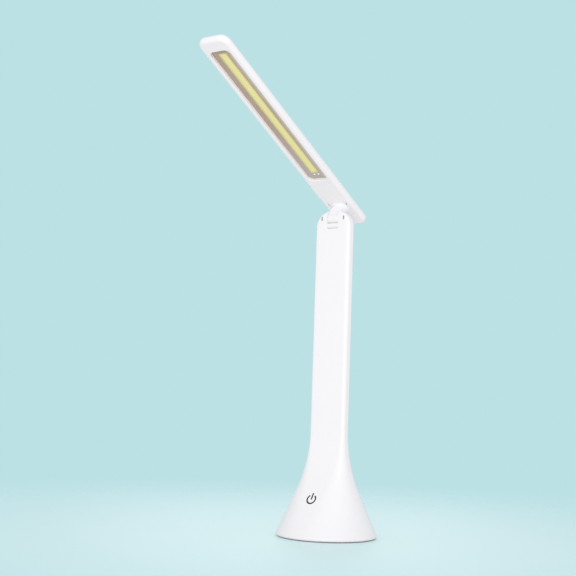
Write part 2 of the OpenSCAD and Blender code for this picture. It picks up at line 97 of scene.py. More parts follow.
def rounded_ring(half_u: float, half_v: float, corner: float, steps: int = 12) -> np.ndarray:
    """Outline of a rounded rectangle: a quarter arc round each corner's centre.

    Args:
        half_u: Half size along u.
        half_v: Half size along v.
        corner: Radius of the corners.
        steps: Segments in each quarter arc.

    Returns:
        Points (4 * (steps + 1), 2), counter-clockwise.
    """
    turn = (np.arange(4)[:, None] + np.linspace(0.0, 1.0, steps + 1)[None, :]) * QUARTER
    centre_u = np.array([1, -1, -1, 1])[:, None] * (half_u - corner)
    centre_v = np.array([1, 1, -1, -1])[:, None] * (half_v - corner)
    ring = np.stack([centre_u + corner * np.cos(turn), centre_v + corner * np.sin(turn)], axis=-1)
    return ring.reshape(-1, 2)


def lift(ring: np.ndarray, height: Number) -> np.ndarray:
    """A flat outline at a height, or with a height for each point."""
    return np.column_stack([ring, np.broadcast_to(height, len(ring))])


def loft_faces(rows: int, columns: int, closed: bool) -> list:
    """Faces between rings of equal length: quads row by row, and a cap at each open end.

    Args:
        rows: Number of rings.
        columns: Points in each ring.
        closed: True joins the last ring to the first, and False caps both ends.

    Returns:
        Lists of point numbers that turn counter-clockwise seen from outside.
    """
    bands = rows if closed else rows - 1
    row, column = np.meshgrid(np.arange(bands), np.arange(columns), indexing="ij")
    here, above = row * columns, (row + 1) % rows * columns
    beside = (column + 1) % columns
    quads = np.stack([here + column, here + beside, above + beside, above + column], axis=-1)
    faces = quads.reshape(-1, 4).tolist()
    if not closed:
        faces.append(list(range(columns - 1, -1, -1)))
        faces.append(list(range((rows - 1) * columns, rows * columns)))
    return faces


def linked(name: str, data: Any) -> Piece:
    """New object at the origin, linked to the scene.

    Args:
        name: Name of the object.
        data: Its mesh, camera or lamp.

    Returns:
        The object.
    """
    thing = bpy.data.objects.new(name, data)
    bpy.context.scene.collection.objects.link(thing)
    return thing


def smooth(piece: Piece, crease: float = CREASE) -> None:
    """Smooth faces, with the edges past the crease angle kept sharp."""
    piece.data.shade_smooth()
    piece.data.set_sharp_from_angle(angle=math.radians(crease))


def discard(piece: Piece) -> None:
    """Removes a helper object and its mesh.

    Args:
        piece: The object that goes.
    """
    mesh = piece.data
    bpy.data.objects.remove(piece)
    bpy.data.meshes.remove(mesh)


def new_piece(name: str, points: np.ndarray, faces: list, crease: float = CREASE) -> Piece:
    """Mesh object from points in millimetres, with doubles merged and smooth faces.

    Args:
        name: Name of the piece.
        points: Points (n, 3) in millimetres, in the lamp's frame.
        faces: Lists of point numbers.
        crease: Angle in degrees past which an edge stays sharp.

    Returns:
        The object, at the origin.
    """
    mesh = bpy.data.meshes.new(name)
    mesh.from_pydata((points.reshape(-1, 3) * MM).tolist(), [], faces)
    work = bmesh.new()
    work.from_mesh(mesh)
    bmesh.ops.remove_doubles(work, verts=work.verts, dist=MERGE)
    bmesh.ops.dissolve_degenerate(work, edges=work.edges, dist=MERGE)
    work.to_mesh(mesh)
    work.free()
    piece = linked(name, mesh)
    smooth(piece, crease)
    return piece


def loft(name: str, rings: Sequence[np.ndarray], closed: bool = False,
         crease: float = CREASE) -> Piece:
    """Piece from rings of equal length, in order along the shape.

    Args:
        name: Name of the piece.
        rings: Arrays (m, 3) in millimetres.
        closed: True joins the last ring to the first.
        crease: Angle in degrees past which an edge stays sharp.

    Returns:
        The object.
    """
    grid = np.stack(rings)
    return new_piece(name, grid, loft_faces(grid.shape[0], grid.shape[1], closed), crease)


def prism(name: str, half_u: float, half_v: float, corner: float, stations: Sequence[float],
          margins: Sequence[float] = (), centre: Point = ORIGIN, axis: Axis = Axis.Y,
          steps: int = 8) -> Piece:
    """Rounded rectangle carried along an axis, and widened at each station by its margin.

    Along Y, u is the height and v the width; along X, u is the depth and v the height.

    Args:
        name: Name of the piece.
        half_u: Half size along u.
        half_v: Half size along v.
        corner: Radius of the corners.
        stations: Places along the axis.
        margins: Widening at each station, or empty for none.
        centre: Point that is added to all points.
        axis: Direction that it runs along.
        steps: Segments in each quarter arc.

    Returns:
        The object.
    """
    rings = []
    for place, side in zip(stations, list(margins) or [0.0] * len(stations)):
        ring = rounded_ring(half_u + side, half_v + side, max(corner + side, TINY), steps)
        rings.append(lift(ring, place)[:, axis.value] + np.array(centre))
    return loft(name, rings)


def rod(name: str, radius: float, stations: Sequence[float], margins: Sequence[float] = (),
        centre: Point = ORIGIN, axis: Axis = Axis.Y, steps: int = 8) -> Piece:
    """Round bar: a prism whose corners take up its whole section."""
    return prism(name, radius, radius, radius, stations, margins, centre, axis, steps)


def lip_stations(surface: float, floor: float, radius: float) -> tuple[list, list]:
    """Stations and margins of a cutter whose mouth leaves a quarter-round lip.

    At a depth t under the surface the margin is r - sqrt(r^2 - (r - t)^2); above it stays r.

    Args:
        surface: Place of the surface that is cut, on the axis.
        floor: Place where the cut ends.
        radius: Radius of the lip.

    Returns:
        The stations in rising order and their margins.
    """
    turn = spread(0.0, QUARTER, 5)
    outward = math.copysign(1.0, surface - floor)
    places = [floor, *(surface - outward * radius * (1 - np.sin(turn))), surface + outward * CLEAR]
    sides = [0.0, *(radius * (1 - np.cos(turn))), radius]
    return (places, sides) if outward > 0 else (places[::-1], sides[::-1])


def revolve(name: str, profile: np.ndarray, steps: int, centre: Point = ORIGIN,
            axis: Axis = Axis.Z) -> Piece:
    """Profile of radius and height turned round the axis: x = r cos t, y = r sin t.

    Args:
        name: Name of the piece.
        profile: Points (n, 2) of radius and height from the lower pole to the upper one.
        steps: Points in each turn.
        centre: Point that is added to all points.
        axis: Direction of the axis.

    Returns:
        The object.
    """
    turn = np.arange(steps) * 2 * math.pi / steps
    radius, height = profile[:, 0:1], profile[:, 1:2]
    grid = np.stack([radius * np.cos(turn), radius * np.sin(turn),
                     np.repeat(height, steps, axis=1)], axis=-1)
    grid = grid[..., axis.value] + np.array(centre)
    return new_piece(name, grid, loft_faces(len(profile), steps, closed=False))


def carve(piece: Piece, changes: Changes) -> Piece:
    """Applies solids to a piece, one after the other, and removes them.

    Args:
        piece: The object that changes.
        changes: Pairs of the kind of change and the solid.

    Returns:
        The piece with its new mesh.
    """
    for number, (kind, solid) in enumerate(changes):
        change = piece.modifiers.new(f"change_{number}", "BOOLEAN")
        change.object, change.operation, change.solver = solid, kind.value, "EXACT"
    view = bpy.context.evaluated_depsgraph_get()
    old, name = piece.data, piece.data.name
    piece.data = bpy.data.meshes.new_from_object(piece.evaluated_get(view))
    piece.modifiers.clear()
    bpy.data.meshes.remove(old)
    piece.data.name = name
    for _, solid in changes:
        discard(solid)
    smooth(piece)
    return piece


def repeated(name: str, places: Sequence[Point], make: Callable[[str, Point], Piece]) -> Piece:
    """One piece that holds the meshes of a shape made at several places.

    Args:
        name: Name of the piece.
        places: One place for each copy.
        make: Makes a copy from its name and its place.

    Returns:
        The piece.
    """
    return joined(name, [make(f"{name}_{number}", place) for number, place in enumerate(places)])


def joined(name: str, pieces: Sequence[Piece]) -> Piece:
    """One piece that holds the meshes of several.

    Args:
        name: Name of the new piece.
        pieces: Objects at the origin, which are removed.

    Returns:
        The new piece.
    """
    work = bmesh.new()
    for piece in pieces:
        work.from_mesh(piece.data)
        discard(piece)
    mesh = bpy.data.meshes.new(name)
    work.to_mesh(mesh)
    work.free()
    whole = linked(name, mesh)
    smooth(whole)
    return whole


# ---------------------------------------------------------------- finishes


def linear(steps: Sequence[int]) -> tuple[float, ...]:
    """Colour socket value of a colour, with c in 0 to 1: ((c + 0.055) / 1.055)^2.4.

    Args:
        steps: Red, green and blue in 0 to 255 display steps.

    Returns:
        Linear red, green, blue and alpha.
    """
    parts = [step / 255 for step in steps]
    return (*(c / 12.92 if c <= 0.04045 else ((c + 0.055) / 1.055) ** 2.4 for c in parts), 1.0)


class Tree:
    """Adds nodes to one node tree and links them as they are added."""

    def __init__(self, tree: bpy.types.NodeTree) -> None:
        """Keeps the tree that the nodes go into."""
        self.tree = tree

    def fill(self, node: bpy.types.Node, inputs: dict) -> None:
        """Sets or links the inputs of a node.

        Args:
            node: The node.
            inputs: Socket name or number to a value or to another node's output.
        """
        for key, value in inputs.items():
            if isinstance(value, Socket):
                self.tree.links.new(value, node.inputs[key])
            else:
                node.inputs[key].default_value = value

    def add(self, kind: str, inputs: Optional[dict] = None, **settings: Any) -> bpy.types.Node:
        """Adds a node, sets its properties and fills its inputs.

        Args:
            kind: Type name of the node, after its first word.
            inputs: Socket name or number to a value or to another node's output.
            settings: Properties of the node.

        Returns:
            The node.
        """
        node = self.tree.nodes.new(kind)
        for name, value in settings.items():
            setattr(node, name, value)
        self.fill(node, inputs or {})
        return node

    def grouped(self, group: bpy.types.NodeTree, inputs: dict) -> Socket:
        """First output of a shared group, with its inputs set by name."""
        return self.add("ShaderNodeGroup", inputs, node_tree=group).outputs[0]

    def noise(self, place: Socket, scale: Any, detail: float = 3.0) -> Socket:
        """Noise between 0 and 1 at a place."""
        inputs = {"Vector": place, "Scale": scale, "Detail": detail}
        return self.add("ShaderNodeTexNoise", inputs).outputs[0]

    def cells(self, scale: float, **settings: Any) -> Socket:
        """Distance in a cell pattern on the object."""
        inputs = {"Vector": self.place(), "Scale": scale}
        return self.add("ShaderNodeTexVoronoi", inputs, **settings).outputs["Distance"]

    def maths(self, operation: str, first: Any, second: Any = 0.0) -> Socket:
        """Result of a sum of one or two values."""
        return self.add("ShaderNodeMath", {0: first, 1: second}, operation=operation).outputs[0]

    def remap(self, value: Any, low: float, high: float, new_low: float = 0.0,
              new_high: float = 1.0) -> Socket:
        """Value moved from one range to another, smoothly and clamped."""
        ends = {0: value, 1: low, 2: high, 3: new_low, 4: new_high}
        return self.add("ShaderNodeMapRange", ends, interpolation_type="SMOOTHSTEP").outputs[0]

    def mix(self, share: Any, first: Any, second: Any) -> Socket:
        """Colour between two colours."""
        ends = {0: share, 6: first, 7: second}
        return self.add("ShaderNodeMix", ends, data_type="RGBA").outputs[2]

    def place(self) -> Socket:
        """Place on the object, in metres."""
        return self.add("ShaderNodeTexCoord").outputs["Object"]

    def split(self, vector: Socket) -> Any:
        """Outputs X, Y and Z of a vector."""
        return self.add("ShaderNodeSeparateXYZ", {0: vector}).outputs

    def seen(self) -> Socket:
        """1 where the camera, gloss or glass looks, and 0 for light that bounces.

        Returns:
            The mask.
        """
        path = self.add("ShaderNodeLightPath").outputs
        shiny = self.maths("MAXIMUM", path["Is Glossy Ray"], path["Is Transmission Ray"])
        return self.maths("MAXIMUM", path["Is Camera Ray"], shiny)


def new_material(name: str) -> tuple[bpy.types.Material, Tree, bpy.types.Node]:
    """Material with the helper of its tree and its shader.

    Args:
        name: Name of the material.

    Returns:
        The material, the helper and the Principled shader.
    """
    material = bpy.data.materials.new(name)
    material.use_nodes = True
    nodes = material.node_tree.nodes
    shader = next(node for node in nodes if node.type == "BSDF_PRINCIPLED")
    return material, Tree(material.node_tree), shader


class Effects:
    """Shader node groups that several finishes share, built once."""

    def __init__(self) -> None:
        """Builds the groups."""
        self.drift = self.build_drift()
        self.grain = self.build_grain()
        self.handling = self.build_handling()
        self.dust = self.build_dust()

    @staticmethod
    def group(name: str, inputs: Sequence[str], output: str,
              colours: Sequence[str] = ()) -> tuple[bpy.types.NodeTree, Tree, Any, Any]:
        """New shader group with named sockets.

        Args:
            name: Name of the group.
            inputs: Names of the inputs.
            output: Name of the output.
            colours: Names of the sockets that are colours; the others are numbers.

        Returns:
            The group, its tree helper, its inputs by name and its output node.
        """
        group = bpy.data.node_groups.new(name, "ShaderNodeTree")
        for socket, side in [*((socket, "INPUT") for socket in inputs), (output, "OUTPUT")]:
            kind = "NodeSocketColor" if socket in colours else "NodeSocketFloat"
            group.interface.new_socket(name=socket, in_out=side, socket_type=kind)
        tree = Tree(group)
        return group, tree, tree.add("NodeGroupInput").outputs, tree.add("NodeGroupOutput")

    def build_drift(self) -> bpy.types.NodeTree:
        """Colour that drifts towards a second shade in broad soft clouds.

        Returns:
            The group.
        """
        inputs = ("Colour", "Shade", "Amount", "Scale")
        group, tree, given, out = self.group("colour_drift", inputs, "Colour", inputs[:2])
        cloud = tree.remap(tree.noise(tree.place(), given["Scale"]), 0.35, 0.7)
        share = tree.maths("MULTIPLY", cloud, given["Amount"])
        tree.fill(out, {"Colour": tree.mix(share, given["Colour"], given["Shade"])})
        return group

    def build_grain(self) -> bpy.types.NodeTree:
        """Height of a moulded skin: fine spark-eroded grain over a slow waviness.

        Returns:
            The group.
        """
        group, tree, given, out = self.group("moulded_grain", ("Scale", "Waviness"), "Height")
        place = tree.place()
        fine = tree.noise(place, given["Scale"], 2.0)
        slow = tree.noise(place, tree.maths("MULTIPLY", given["Scale"], 0.06), 1.0)
        waves = tree.maths("MULTIPLY", slow, given["Waviness"])
        tree.fill(out, {"Height": tree.maths("ADD", fine, waves)})
        return group

    def build_handling(self) -> bpy.types.NodeTree:
        """Roughness that varies where hands and cloths have touched the surface.

        Returns:
            The group.
        """
        group, tree, given, out = self.group("handling", ("Roughness", "Spread", "Scale"),
                                             "Roughness")
        smudge = tree.remap(tree.noise(tree.place(), given["Scale"], 4.0), 0.4, 0.65, -0.5, 0.5)
        change = tree.maths("MULTIPLY", smudge, given["Spread"])
        tree.fill(out, {"Roughness": tree.maths("ADD", given["Roughness"], change)})
        return group

    def build_dust(self) -> bpy.types.NodeTree:
        """Mask of the fine dust that settles on faces that look up.

        Returns:
            The group.
        """
        group, tree, given, out = self.group("settled_dust", ("Amount",), "Mask")
        normal = tree.add("ShaderNodeNewGeometry").outputs["Normal"]
        upward = tree.remap(tree.split(normal)["Z"], 0.55, 1.0)
        speck = tree.remap(tree.noise(tree.place(), 900.0, 4.0), 0.45, 0.75)
        dusty = tree.maths("MULTIPLY", upward, speck)
        tree.fill(out, {"Mask": tree.maths("MULTIPLY", dusty, given["Amount"])})
        return group


@dataclass(frozen=True)
class Finish:
    """A moulded or painted surface; other finishes add to it.

    Colours are display steps, scales are per metre and depths are metres.
    """

    slot: str
    colour: tuple
    shade: tuple
    amount: float = 0.35
    cloud_scale: float = 22.0
    roughness: float = 0.4
    smudge: float = 0.06
    smudge_scale: float = 45.0
    grain: float = 2500.0
    waviness: float = 0.0
    depth: float = 0.00001
    dust: float = 0.0
    dust_colour: tuple = (196, 192, 186)
    metallic: float = 0.0
    coat: float = 0.0
    sockets: tuple = ()

    def base_colour(self, tree: Tree, effects: Effects) -> Socket:
        """Colour over the surface, before dust.

        Args:
            tree: Helper of the material's tree.
            effects: The shared node groups.

        Returns:
            The colour.
        """
        return tree.grouped(effects.drift, {
            "Colour": linear(self.colour), "Shade": linear(self.shade),
            "Amount": self.amount, "Scale": self.cloud_scale})

    def height(self, tree: Tree, effects: Effects) -> Socket:
        """Height that the bump reads."""
        return tree.grouped(effects.grain, {"Scale": self.grain, "Waviness": self.waviness})

    def build(self, effects: Effects) -> bpy.types.Material:
        """Material with the finish's colour, roughness and bump.

        Args:
            effects: The shared node groups.

        Returns:
            The material, named after its slot.
        """
        material, tree, shader = new_material(f"{self.slot}_finish")
        colour = self.base_colour(tree, effects)
        if self.dust:
            mask = tree.grouped(effects.dust, {"Amount": self.dust})
            colour = tree.mix(mask, colour, linear(self.dust_colour))
        roughness = tree.grouped(effects.handling, {
            "Roughness": self.roughness, "Spread": self.smudge, "Scale": self.smudge_scale})
        bump = tree.add("ShaderNodeBump", {"Height": self.height(tree, effects),
                                           "Distance": self.depth, "Strength": 1.0})
        tree.fill(shader, {"Base Color": colour, "Roughness": roughness,
                           "Normal": bump.outputs["Normal"], "Metallic": self.metallic,
                           "Coat Weight": self.coat, **dict(self.sockets)})
        return material


@dataclass(frozen=True)
class BrushedFinish(Finish):
    """Metal with fine streaks that run along one axis."""

    stretch: tuple = (1.0, 1.0, 12.0)

    def height(self, tree: Tree, effects: Effects) -> Socket:
        """Noise drawn out along the streaks."""
        drawn = tree.add("ShaderNodeMapping", {"Vector": tree.place(), "Scale": self.stretch})
        return tree.noise(drawn.outputs[0], self.grain, 4.0)


@dataclass(frozen=True)
class BoardFinish(Finish):
    """Light board whose colour holds painted shade of the recess, lighter towards the hinge, and a
    painted reflection of the wall along its right edge.
    """

    # painted shade of the recess lightens to this colour towards the hinge
    near: tuple = (187, 177, 170)
    near_y: float = -0.033
    far_y: float = -0.09
    # painted reflection of the recess wall along the board's right edge
    beside: tuple = (210, 202, 184)
    reflection_from_x: float = 0.0035
    reflection_to_x: float = 0.0075

    def base_colour(self, tree: Tree, effects: Effects) -> Socket:
        """Painted shade from the far colour to the lighter near colour along the bar, a painted
        reflection of the wall to the right, with soft clouds.

        Args:
            tree: Helper of the material's tree.
            effects: The shared node groups; not used.

        Returns:
            The colour.
        """
        place = tree.split(tree.place())
        share = tree.remap(place["Y"], self.far_y, self.near_y)
        # mask of the painted reflection of the recess wall, to the right
        side = tree.remap(place["X"], self.reflection_from_x, self.reflection_to_x)
        cloud = tree.remap(tree.noise(tree.place(), self.cloud_scale), 0.3, 0.7)
        clouded = tree.maths("MULTIPLY", cloud, self.amount)
        far = tree.mix(clouded, linear(self.colour), linear(self.shade))
        return tree.mix(side, tree.mix(share, far, linear(self.near)), linear(self.beside))


@dataclass(frozen=True)
class GelFinish(Finish):
    """Silicone full of phosphor grains, a little deeper in colour over each diode below."""

    pitch: float = 0.0028
    grains: float = 3500.0

    def base_colour(self, tree: Tree, effects: Effects) -> Socket:
        """Yellow with grains, and a soft spot where cos(2 pi y / pitch) is high.

        Args:
            tree: Helper of the material's tree.
            effects: The shared node groups; not used.

        Returns:
            The colour.
        """
        place, shade = tree.place(), linear(self.shade)
        turn = tree.maths("MULTIPLY", tree.split(place)["Y"], 2 * math.pi / self.pitch)
        spot = tree.remap(tree.maths("COSINE", turn), 0.3, 1.0)
        grains = tree.remap(tree.noise(place, self.grains, 4.0), 0.35, 0.75)
        dotted = tree.mix(tree.maths("MULTIPLY", spot, self.amount), linear(self.colour), shade)
        return tree.mix(tree.maths("MULTIPLY", grains, self.amount), dotted, shade)


@dataclass(frozen=True)
class CircuitFinish(Finish):
    """Solder mask over copper tracks."""

    track: tuple = (46, 124, 84)

    def base_colour(self, tree: Tree, effects: Effects) -> Socket:
        """Mask colour with lighter tracks where a coarse cell pattern has its borders.

        Args:
            tree: Helper of the material's tree.
            effects: The shared node groups; not used.

        Returns:
            The colour.
        """
        border = tree.cells(260.0, feature="DISTANCE_TO_EDGE", distance="CHEBYCHEV")
        share = tree.remap(border, 0.04, 0.09, 1.0, 0.0)
        return tree.mix(share, linear(self.colour), linear(self.track))


@dataclass(frozen=True)
class FoamFinish(Finish):
    """Open-cell foam: pits of a cell pattern."""

    def height(self, tree: Tree, effects: Effects) -> Socket:
        """Distance to the nearest cell's middle."""
        return tree.cells(self.grain)


BLACK_SHADE = (38, 38, 40)
FINISHES: tuple[Finish, ...] = (
    Finish("white_gloss", (247, 245, 248), (244, 242, 245), roughness=0.36, waviness=0.6,
           depth=0.000004, dust=0.02),
    Finish("white_matte", (238, 238, 240), (230, 230, 233), roughness=0.55, depth=0.00002),
    BrushedFinish("steel", (186, 188, 192), (170, 172, 177), roughness=0.32, metallic=1.0,
                  depth=0.000006),
    BrushedFinish("ballast_steel", (150, 151, 154), (132, 130, 128), roughness=0.45,
                  metallic=1.0, stretch=(1.0, 10.0, 1.0)),
    Finish("rubber_pad", (196, 198, 200), (186, 188, 190), roughness=0.78, grain=1800.0,
           depth=0.00004, dust=0.1),
    FoamFinish("foam", (84, 84, 88), (70, 70, 74), roughness=0.9, grain=1600.0, depth=0.0002),
    Finish("cell_foil", (178, 182, 188), (160, 165, 172), roughness=0.38, grain=350.0,
           waviness=2.0, depth=0.00005, metallic=0.7),
    Finish("black_plastic", (24, 24, 26), BLACK_SHADE, roughness=0.5, depth=0.00002),
    Finish("red_insulation", (176, 34, 30), (160, 26, 24), roughness=0.42),
    Finish("black_insulation", (28, 28, 30), BLACK_SHADE, roughness=0.42),
    CircuitFinish("circuit_board", (22, 92, 62), (18, 80, 54), roughness=0.35, coat=0.3),
    Finish("ferrite", (62, 62, 66), (52, 52, 55), roughness=0.7, grain=1500.0, depth=0.00005),
    Finish("connector_nylon", (236, 229, 208), (228, 220, 196), roughness=0.45),
    Finish("light_pipe", (240, 246, 250), (232, 240, 246), roughness=0.15, smudge=0.02,
           sockets=(("Transmission Weight", 0.85), ("IOR", 1.49))),
    BrushedFinish("copper", (205, 132, 96), (186, 112, 78), roughness=0.35, metallic=1.0,
                  depth=0.000006),
    Finish("icon_ink", (14, 14, 15), (24, 24, 25), roughness=0.5, grain=5200.0, depth=0.000006),
    Finish("washer_nylon", (224, 217, 192), (214, 206, 180)),
    # warm board tone, darkened in part as painted shade of the recess
    BoardFinish("board_aluminium", (184, 164, 147), (176, 155, 137), roughness=0.5, amount=0.5,
                cloud_scale=60.0),
    GelFinish("phosphor", (241, 235, 163), (236, 226, 146), roughness=0.42, amount=0.2,
              depth=0.000006),
    Finish("solder", (250, 249, 244), (240, 240, 238), roughness=0.35, metallic=0.25, grain=900.0),
    Finish("dam_silicone", (217, 205, 163), (209, 196, 152), roughness=0.5),
)


@dataclass
class Workshop:
    """Materials of all finishes, and the calls that hand a piece to the frame."""

    effects: Effects = field(default_factory=Effects)
    materials: dict = field(default_factory=dict)

    def __post_init__(self) -> None:
        """Builds one material for each finish."""
        self.materials.update({finish.slot: finish.build(self.effects) for finish in FINISHES})

    def dress(self, piece: Piece, slot: str, body: str, node: str,
              finish: Optional[str] = None) -> None:
        """Gives a new piece its material and body, and hides the node that it stands for.

        Args:
            piece: The new piece.
            slot: Material slot of the record.
            body: Body that it moves with.
            node: Node of the frame that it stands for.
            finish: Finish to use where it isn't the slot's own.
        """
        piece.data.materials.clear()
        piece.data.materials.append(self.materials[finish or slot])
        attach(piece, body)
        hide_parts(node)
        LOG.info("%s: %d faces on %s", piece.name, len(piece.data.polygons), body)

    def dress_nodes(self) -> None:
        """Puts the finish of its slot on every node of the frame that still shows."""
        for name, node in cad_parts.items():
            slots = [material.name.split(".")[0] for material in node.data.materials]
            for number, slot in enumerate(slots):
                node.data.materials[number] = self.materials[slot]
            if not node.hide_render:
                LOG.info("%s: kept, in %s", name, ", ".join(slots))


# ---------------------------------------------------------------- foot and upright


@dataclass
class FootAndUpright:
    """White moulding: round foot, sweep, flat upright and the two hinge cheeks at its top."""

    base_d: float = 85.0
    rim_r: float = 1.8
    rim_gap: float = 0.6
    cone_angle: float = 26.4
    sweep_r: float = 114.0
    sweep_z: float = 88.5
    stem_w: float = 35.0
    stem_t: float = 9.0
    stem_r: float = 3.0
    stem_top: float = 276.5
    crown_r: float = 14.0
    wall: float = 2.0
    solid_top_z: float = 252.0
    axis_z: float = 270.0
    notch_w: float = 11.4
    notch_lip: float = 0.15
    notch_corner: float = 0.5
    front_notch: float = 9.0
    rear_notch: float = 2.5
    web_drop: float = 4.4
    web_top_y: float = -4.3
    web_foot_y: float = -0.4
    web_back_y: float = 0.5
    web_straight: float = 0.8
    web_edge: float = 0.3
    web_sink: float = 0.5
    web_over: float = 0.3
    channel_r: float = 4.5
    lip_r: float = 0.35
    pin_r: float = 1.54
    pin_reach: float = 14.2
    washer_r: float = 3.6
    washer_x: float = 6.8
    clip_x: float = 11.1
    clip_w: float = 1.6
    clip_h: float = 3.6
    clip_pocket_h: float = 6.8
    clip_pocket_y: float = -3.0
    clip_pocket_corner: float = 0.3
    lead_r: float = 1.7
    lead_y: float = 1.8
    lead_sink: float = 1.0
    plate_top: float = 3.2
    boss_r: float = 3.2
    boss_ring_r: float = 30.0
    boss_bore_r: float = 1.3
    boss_bore_top: float = 12.2
    cover_w: float = 26.0
    cover_top: float = 249.0
    cover_bottom: float = 91.0
    cover_t: float = 1.0
    cover_step: float = 2.0
    cover_step_corner: float = 0.3
    cover_step_in: float = 1.0
    cover_step_out: float = 0.5
    cover_corner: float = 1.2
    cover_edge: float = 0.3
    cover_gap: float = 0.1
    cover_lip: float = 0.2
    cover_screw_x: float = 8.0
    cover_screw_inset: float = 6.0
    cover_boss_r: float = 2.2
    screw_bore_r: float = 0.85
    screw_play: float = 0.15
    screw_seat_r: float = 1.8
    screw_seat_y: float = 3.5
    screw_r: float = 0.8
    screw_l: float = 3.4
    screw_point: float = 0.4
    screw_tip_r: float = 0.5
    screw_head_r: float = 1.6
    screw_head_h: float = 0.9
    head_side: float = 0.45
    cross_long: float = 0.95
    cross_short: float = 0.2
    cross_corner: float = 0.12
    cross_floor: float = 0.4
    port_w: float = 9.4
    port_h: float = 3.6
    port_z: float = 11.9
    port_face_y: float = 35.7
    pipe_x: float = 9.5
    pipe_r: float = 1.1
    pipe_l: float = 5.0
    side_steps: int = 3
    arc_steps: int = 20
    front_steps: int = 8
    flare_steps: int = 53

    def __post_init__(self) -> None:
        """Works out the faces, the rear cover's middle, and where the sweep leaves the rim."""
        self.front, self.rear = -self.stem_t / 2, self.stem_t / 2
        self.wall_y, self.skin_y = self.rear - self.wall, self.rear - self.cover_t
        self.cover_half = (self.cover_top - self.cover_bottom) / 2
        self.cover_middle = (0.0, 0.0, (self.cover_top + self.cover_bottom) / 2)
        self.lean = math.radians(self.cone_angle)
        self.rim_z = self.rim_gap + self.rim_r
        self.flare_r0 = self.base_d / 2 - self.rim_r * (1 - math.cos(self.lean))
        self.flare_z0 = self.rim_z + self.rim_r * math.sin(self.lean)
        self.full_run = float(self.sweep_run(np.array(self.sweep_z - self.flare_z0)))

    def sweep_run(self, drop: np.ndarray) -> np.ndarray:
        """Run of the sweep at a drop: r - sqrt(r^2 - drop^2), then straight down the cone.

        Args:
            drop: How far below the sweep's upper end.

        Returns:
            How far outwards.
        """
        arc_drop = self.sweep_r * math.sin(self.lean)
        arc_run = self.sweep_r * (1 - math.cos(self.lean))
        on_arc = self.sweep_r - np.sqrt(self.sweep_r ** 2 - np.minimum(drop, arc_drop) ** 2)
        on_cone = arc_run + (drop - arc_drop) * math.tan(self.lean)
        return np.where(drop < arc_drop, on_arc, on_cone)

    def half_sizes(self, height: Number) -> tuple[Number, Number, Number]:
        """Section at a height: each size goes from the upright's to the foot's with the sweep.

        Args:
            height: Height, or an array of heights.

        Returns:
            Half width, half thickness and edge radius.
        """
        drop = self.sweep_z - np.clip(height, self.flare_z0, self.sweep_z)
        share = self.sweep_run(drop) / self.full_run
        above = (self.stem_w / 2, self.stem_t / 2, self.stem_r)
        wide, thick, edge = (blend(size, self.flare_r0, share) for size in above)
        return wide, thick, edge

    def around(self, arc_x: np.ndarray, arc_y: np.ndarray, heights: np.ndarray) -> np.ndarray:
        """Whole rings from the arc in their first quarter, between its side and its front.

        Straight lines run to the arc from the middle of the side, and on to the middle of the
        front; the quarter is then mirrored over both axes.

        Args:
            arc_x: X of the arc, (rows, columns).
            arc_y: Y of the arc.
            heights: Height of each row.

        Returns:
            Points (rows, columns, 3), counter-clockwise.
        """
        side = np.linspace(0.0, 1.0, self.side_steps, endpoint=False)
        front = spread(1.0, 0.0, self.front_steps)[1:]
        x = np.hstack([np.repeat(arc_x[:, :1], self.side_steps, axis=1), arc_x,
                       arc_x[:, -1:] * front])
        y = np.hstack([arc_y[:, :1] * side, arc_y,
                       np.repeat(arc_y[:, -1:], self.front_steps, axis=1)])
        forward, backward = slice(0, -1), slice(None, 0, -1)
        ring_x = np.hstack([x[:, forward], -x[:, backward], -x[:, forward], x[:, backward]])
        ring_y = np.hstack([y[:, forward], y[:, backward], -y[:, forward], -y[:, backward]])
        ring_z = np.repeat(heights[:, None], ring_x.shape[1], axis=1)
        return np.stack([ring_x, ring_y, ring_z], axis=-1)

    def rounded_rings(self, sizes: Sequence[np.ndarray], heights: np.ndarray) -> np.ndarray:
        """Rings of rounded rectangles: x = w - e + e cos t and y = d - e + e sin t on the arc.

        Args:
            sizes: Half width w, half depth d and edge radius e, each an array (rows).
            heights: Height of each ring.

        Returns:
            Points (rows, columns, 3).
        """
        turn = spread(0.0, QUARTER, self.arc_steps)
        wide, thick, edge = (size[:, None] for size in sizes)
        return self.around(wide - edge + edge * np.cos(turn), thick - edge + edge * np.sin(turn),
                           heights)

    def section_rings(self, heights: np.ndarray, inset: float = 0.0) -> np.ndarray:
        """Rings of the body, whose half sizes follow the sweep.

        Args:
            heights: Height of each ring.
            inset: How far the rings are drawn in.

        Returns:
            Points (rows, columns, 3).
        """
        wide, thick, edge = (size - inset for size in self.half_sizes(heights))
        return self.rounded_rings((wide, thick, np.maximum(edge, TINY)), heights)

    def rim_rings(self) -> np.ndarray:
        """Rings of the foot's rim: circles whose radius follows a quarter arc and more.

        Returns:
            Points (rows, columns, 3).
        """
        turns = np.linspace(-QUARTER, self.lean, 12)[:-1]
        radii = self.base_d / 2 - self.rim_r + self.rim_r * np.cos(turns)
        return self.rounded_rings((radii, radii, radii), self.rim_z + self.rim_r * np.sin(turns))

    def crown_rings(self) -> np.ndarray:
        """Rings of the upright's rounded top.

        The outline's corner has a radius c and its edge a radius e: at a depth drawn in by d the
        half width at a rise h is w - c + sqrt((c - d)^2 - h^2), for d from c - h, or e, down to 0.

        Returns:
            Points (rows, columns, 3).
        """
        rise = self.crown_r * np.sin(spread(0.0, QUARTER, 18))[:, None]
        deepest = np.clip(self.crown_r - rise, 0.0, self.stem_r)
        turn = np.arccos(1 - deepest / self.stem_r) * spread(0.0, 1.0, self.arc_steps)
        left = self.crown_r - self.stem_r * (1 - np.cos(turn))
        arc_x = self.stem_w / 2 - self.crown_r + np.sqrt(np.maximum(left ** 2 - rise ** 2, 0.0))
        arc_y = self.rear - self.stem_r + self.stem_r * np.sin(turn)
        return self.around(arc_x, arc_y, self.stem_top - self.crown_r + rise[:, 0])

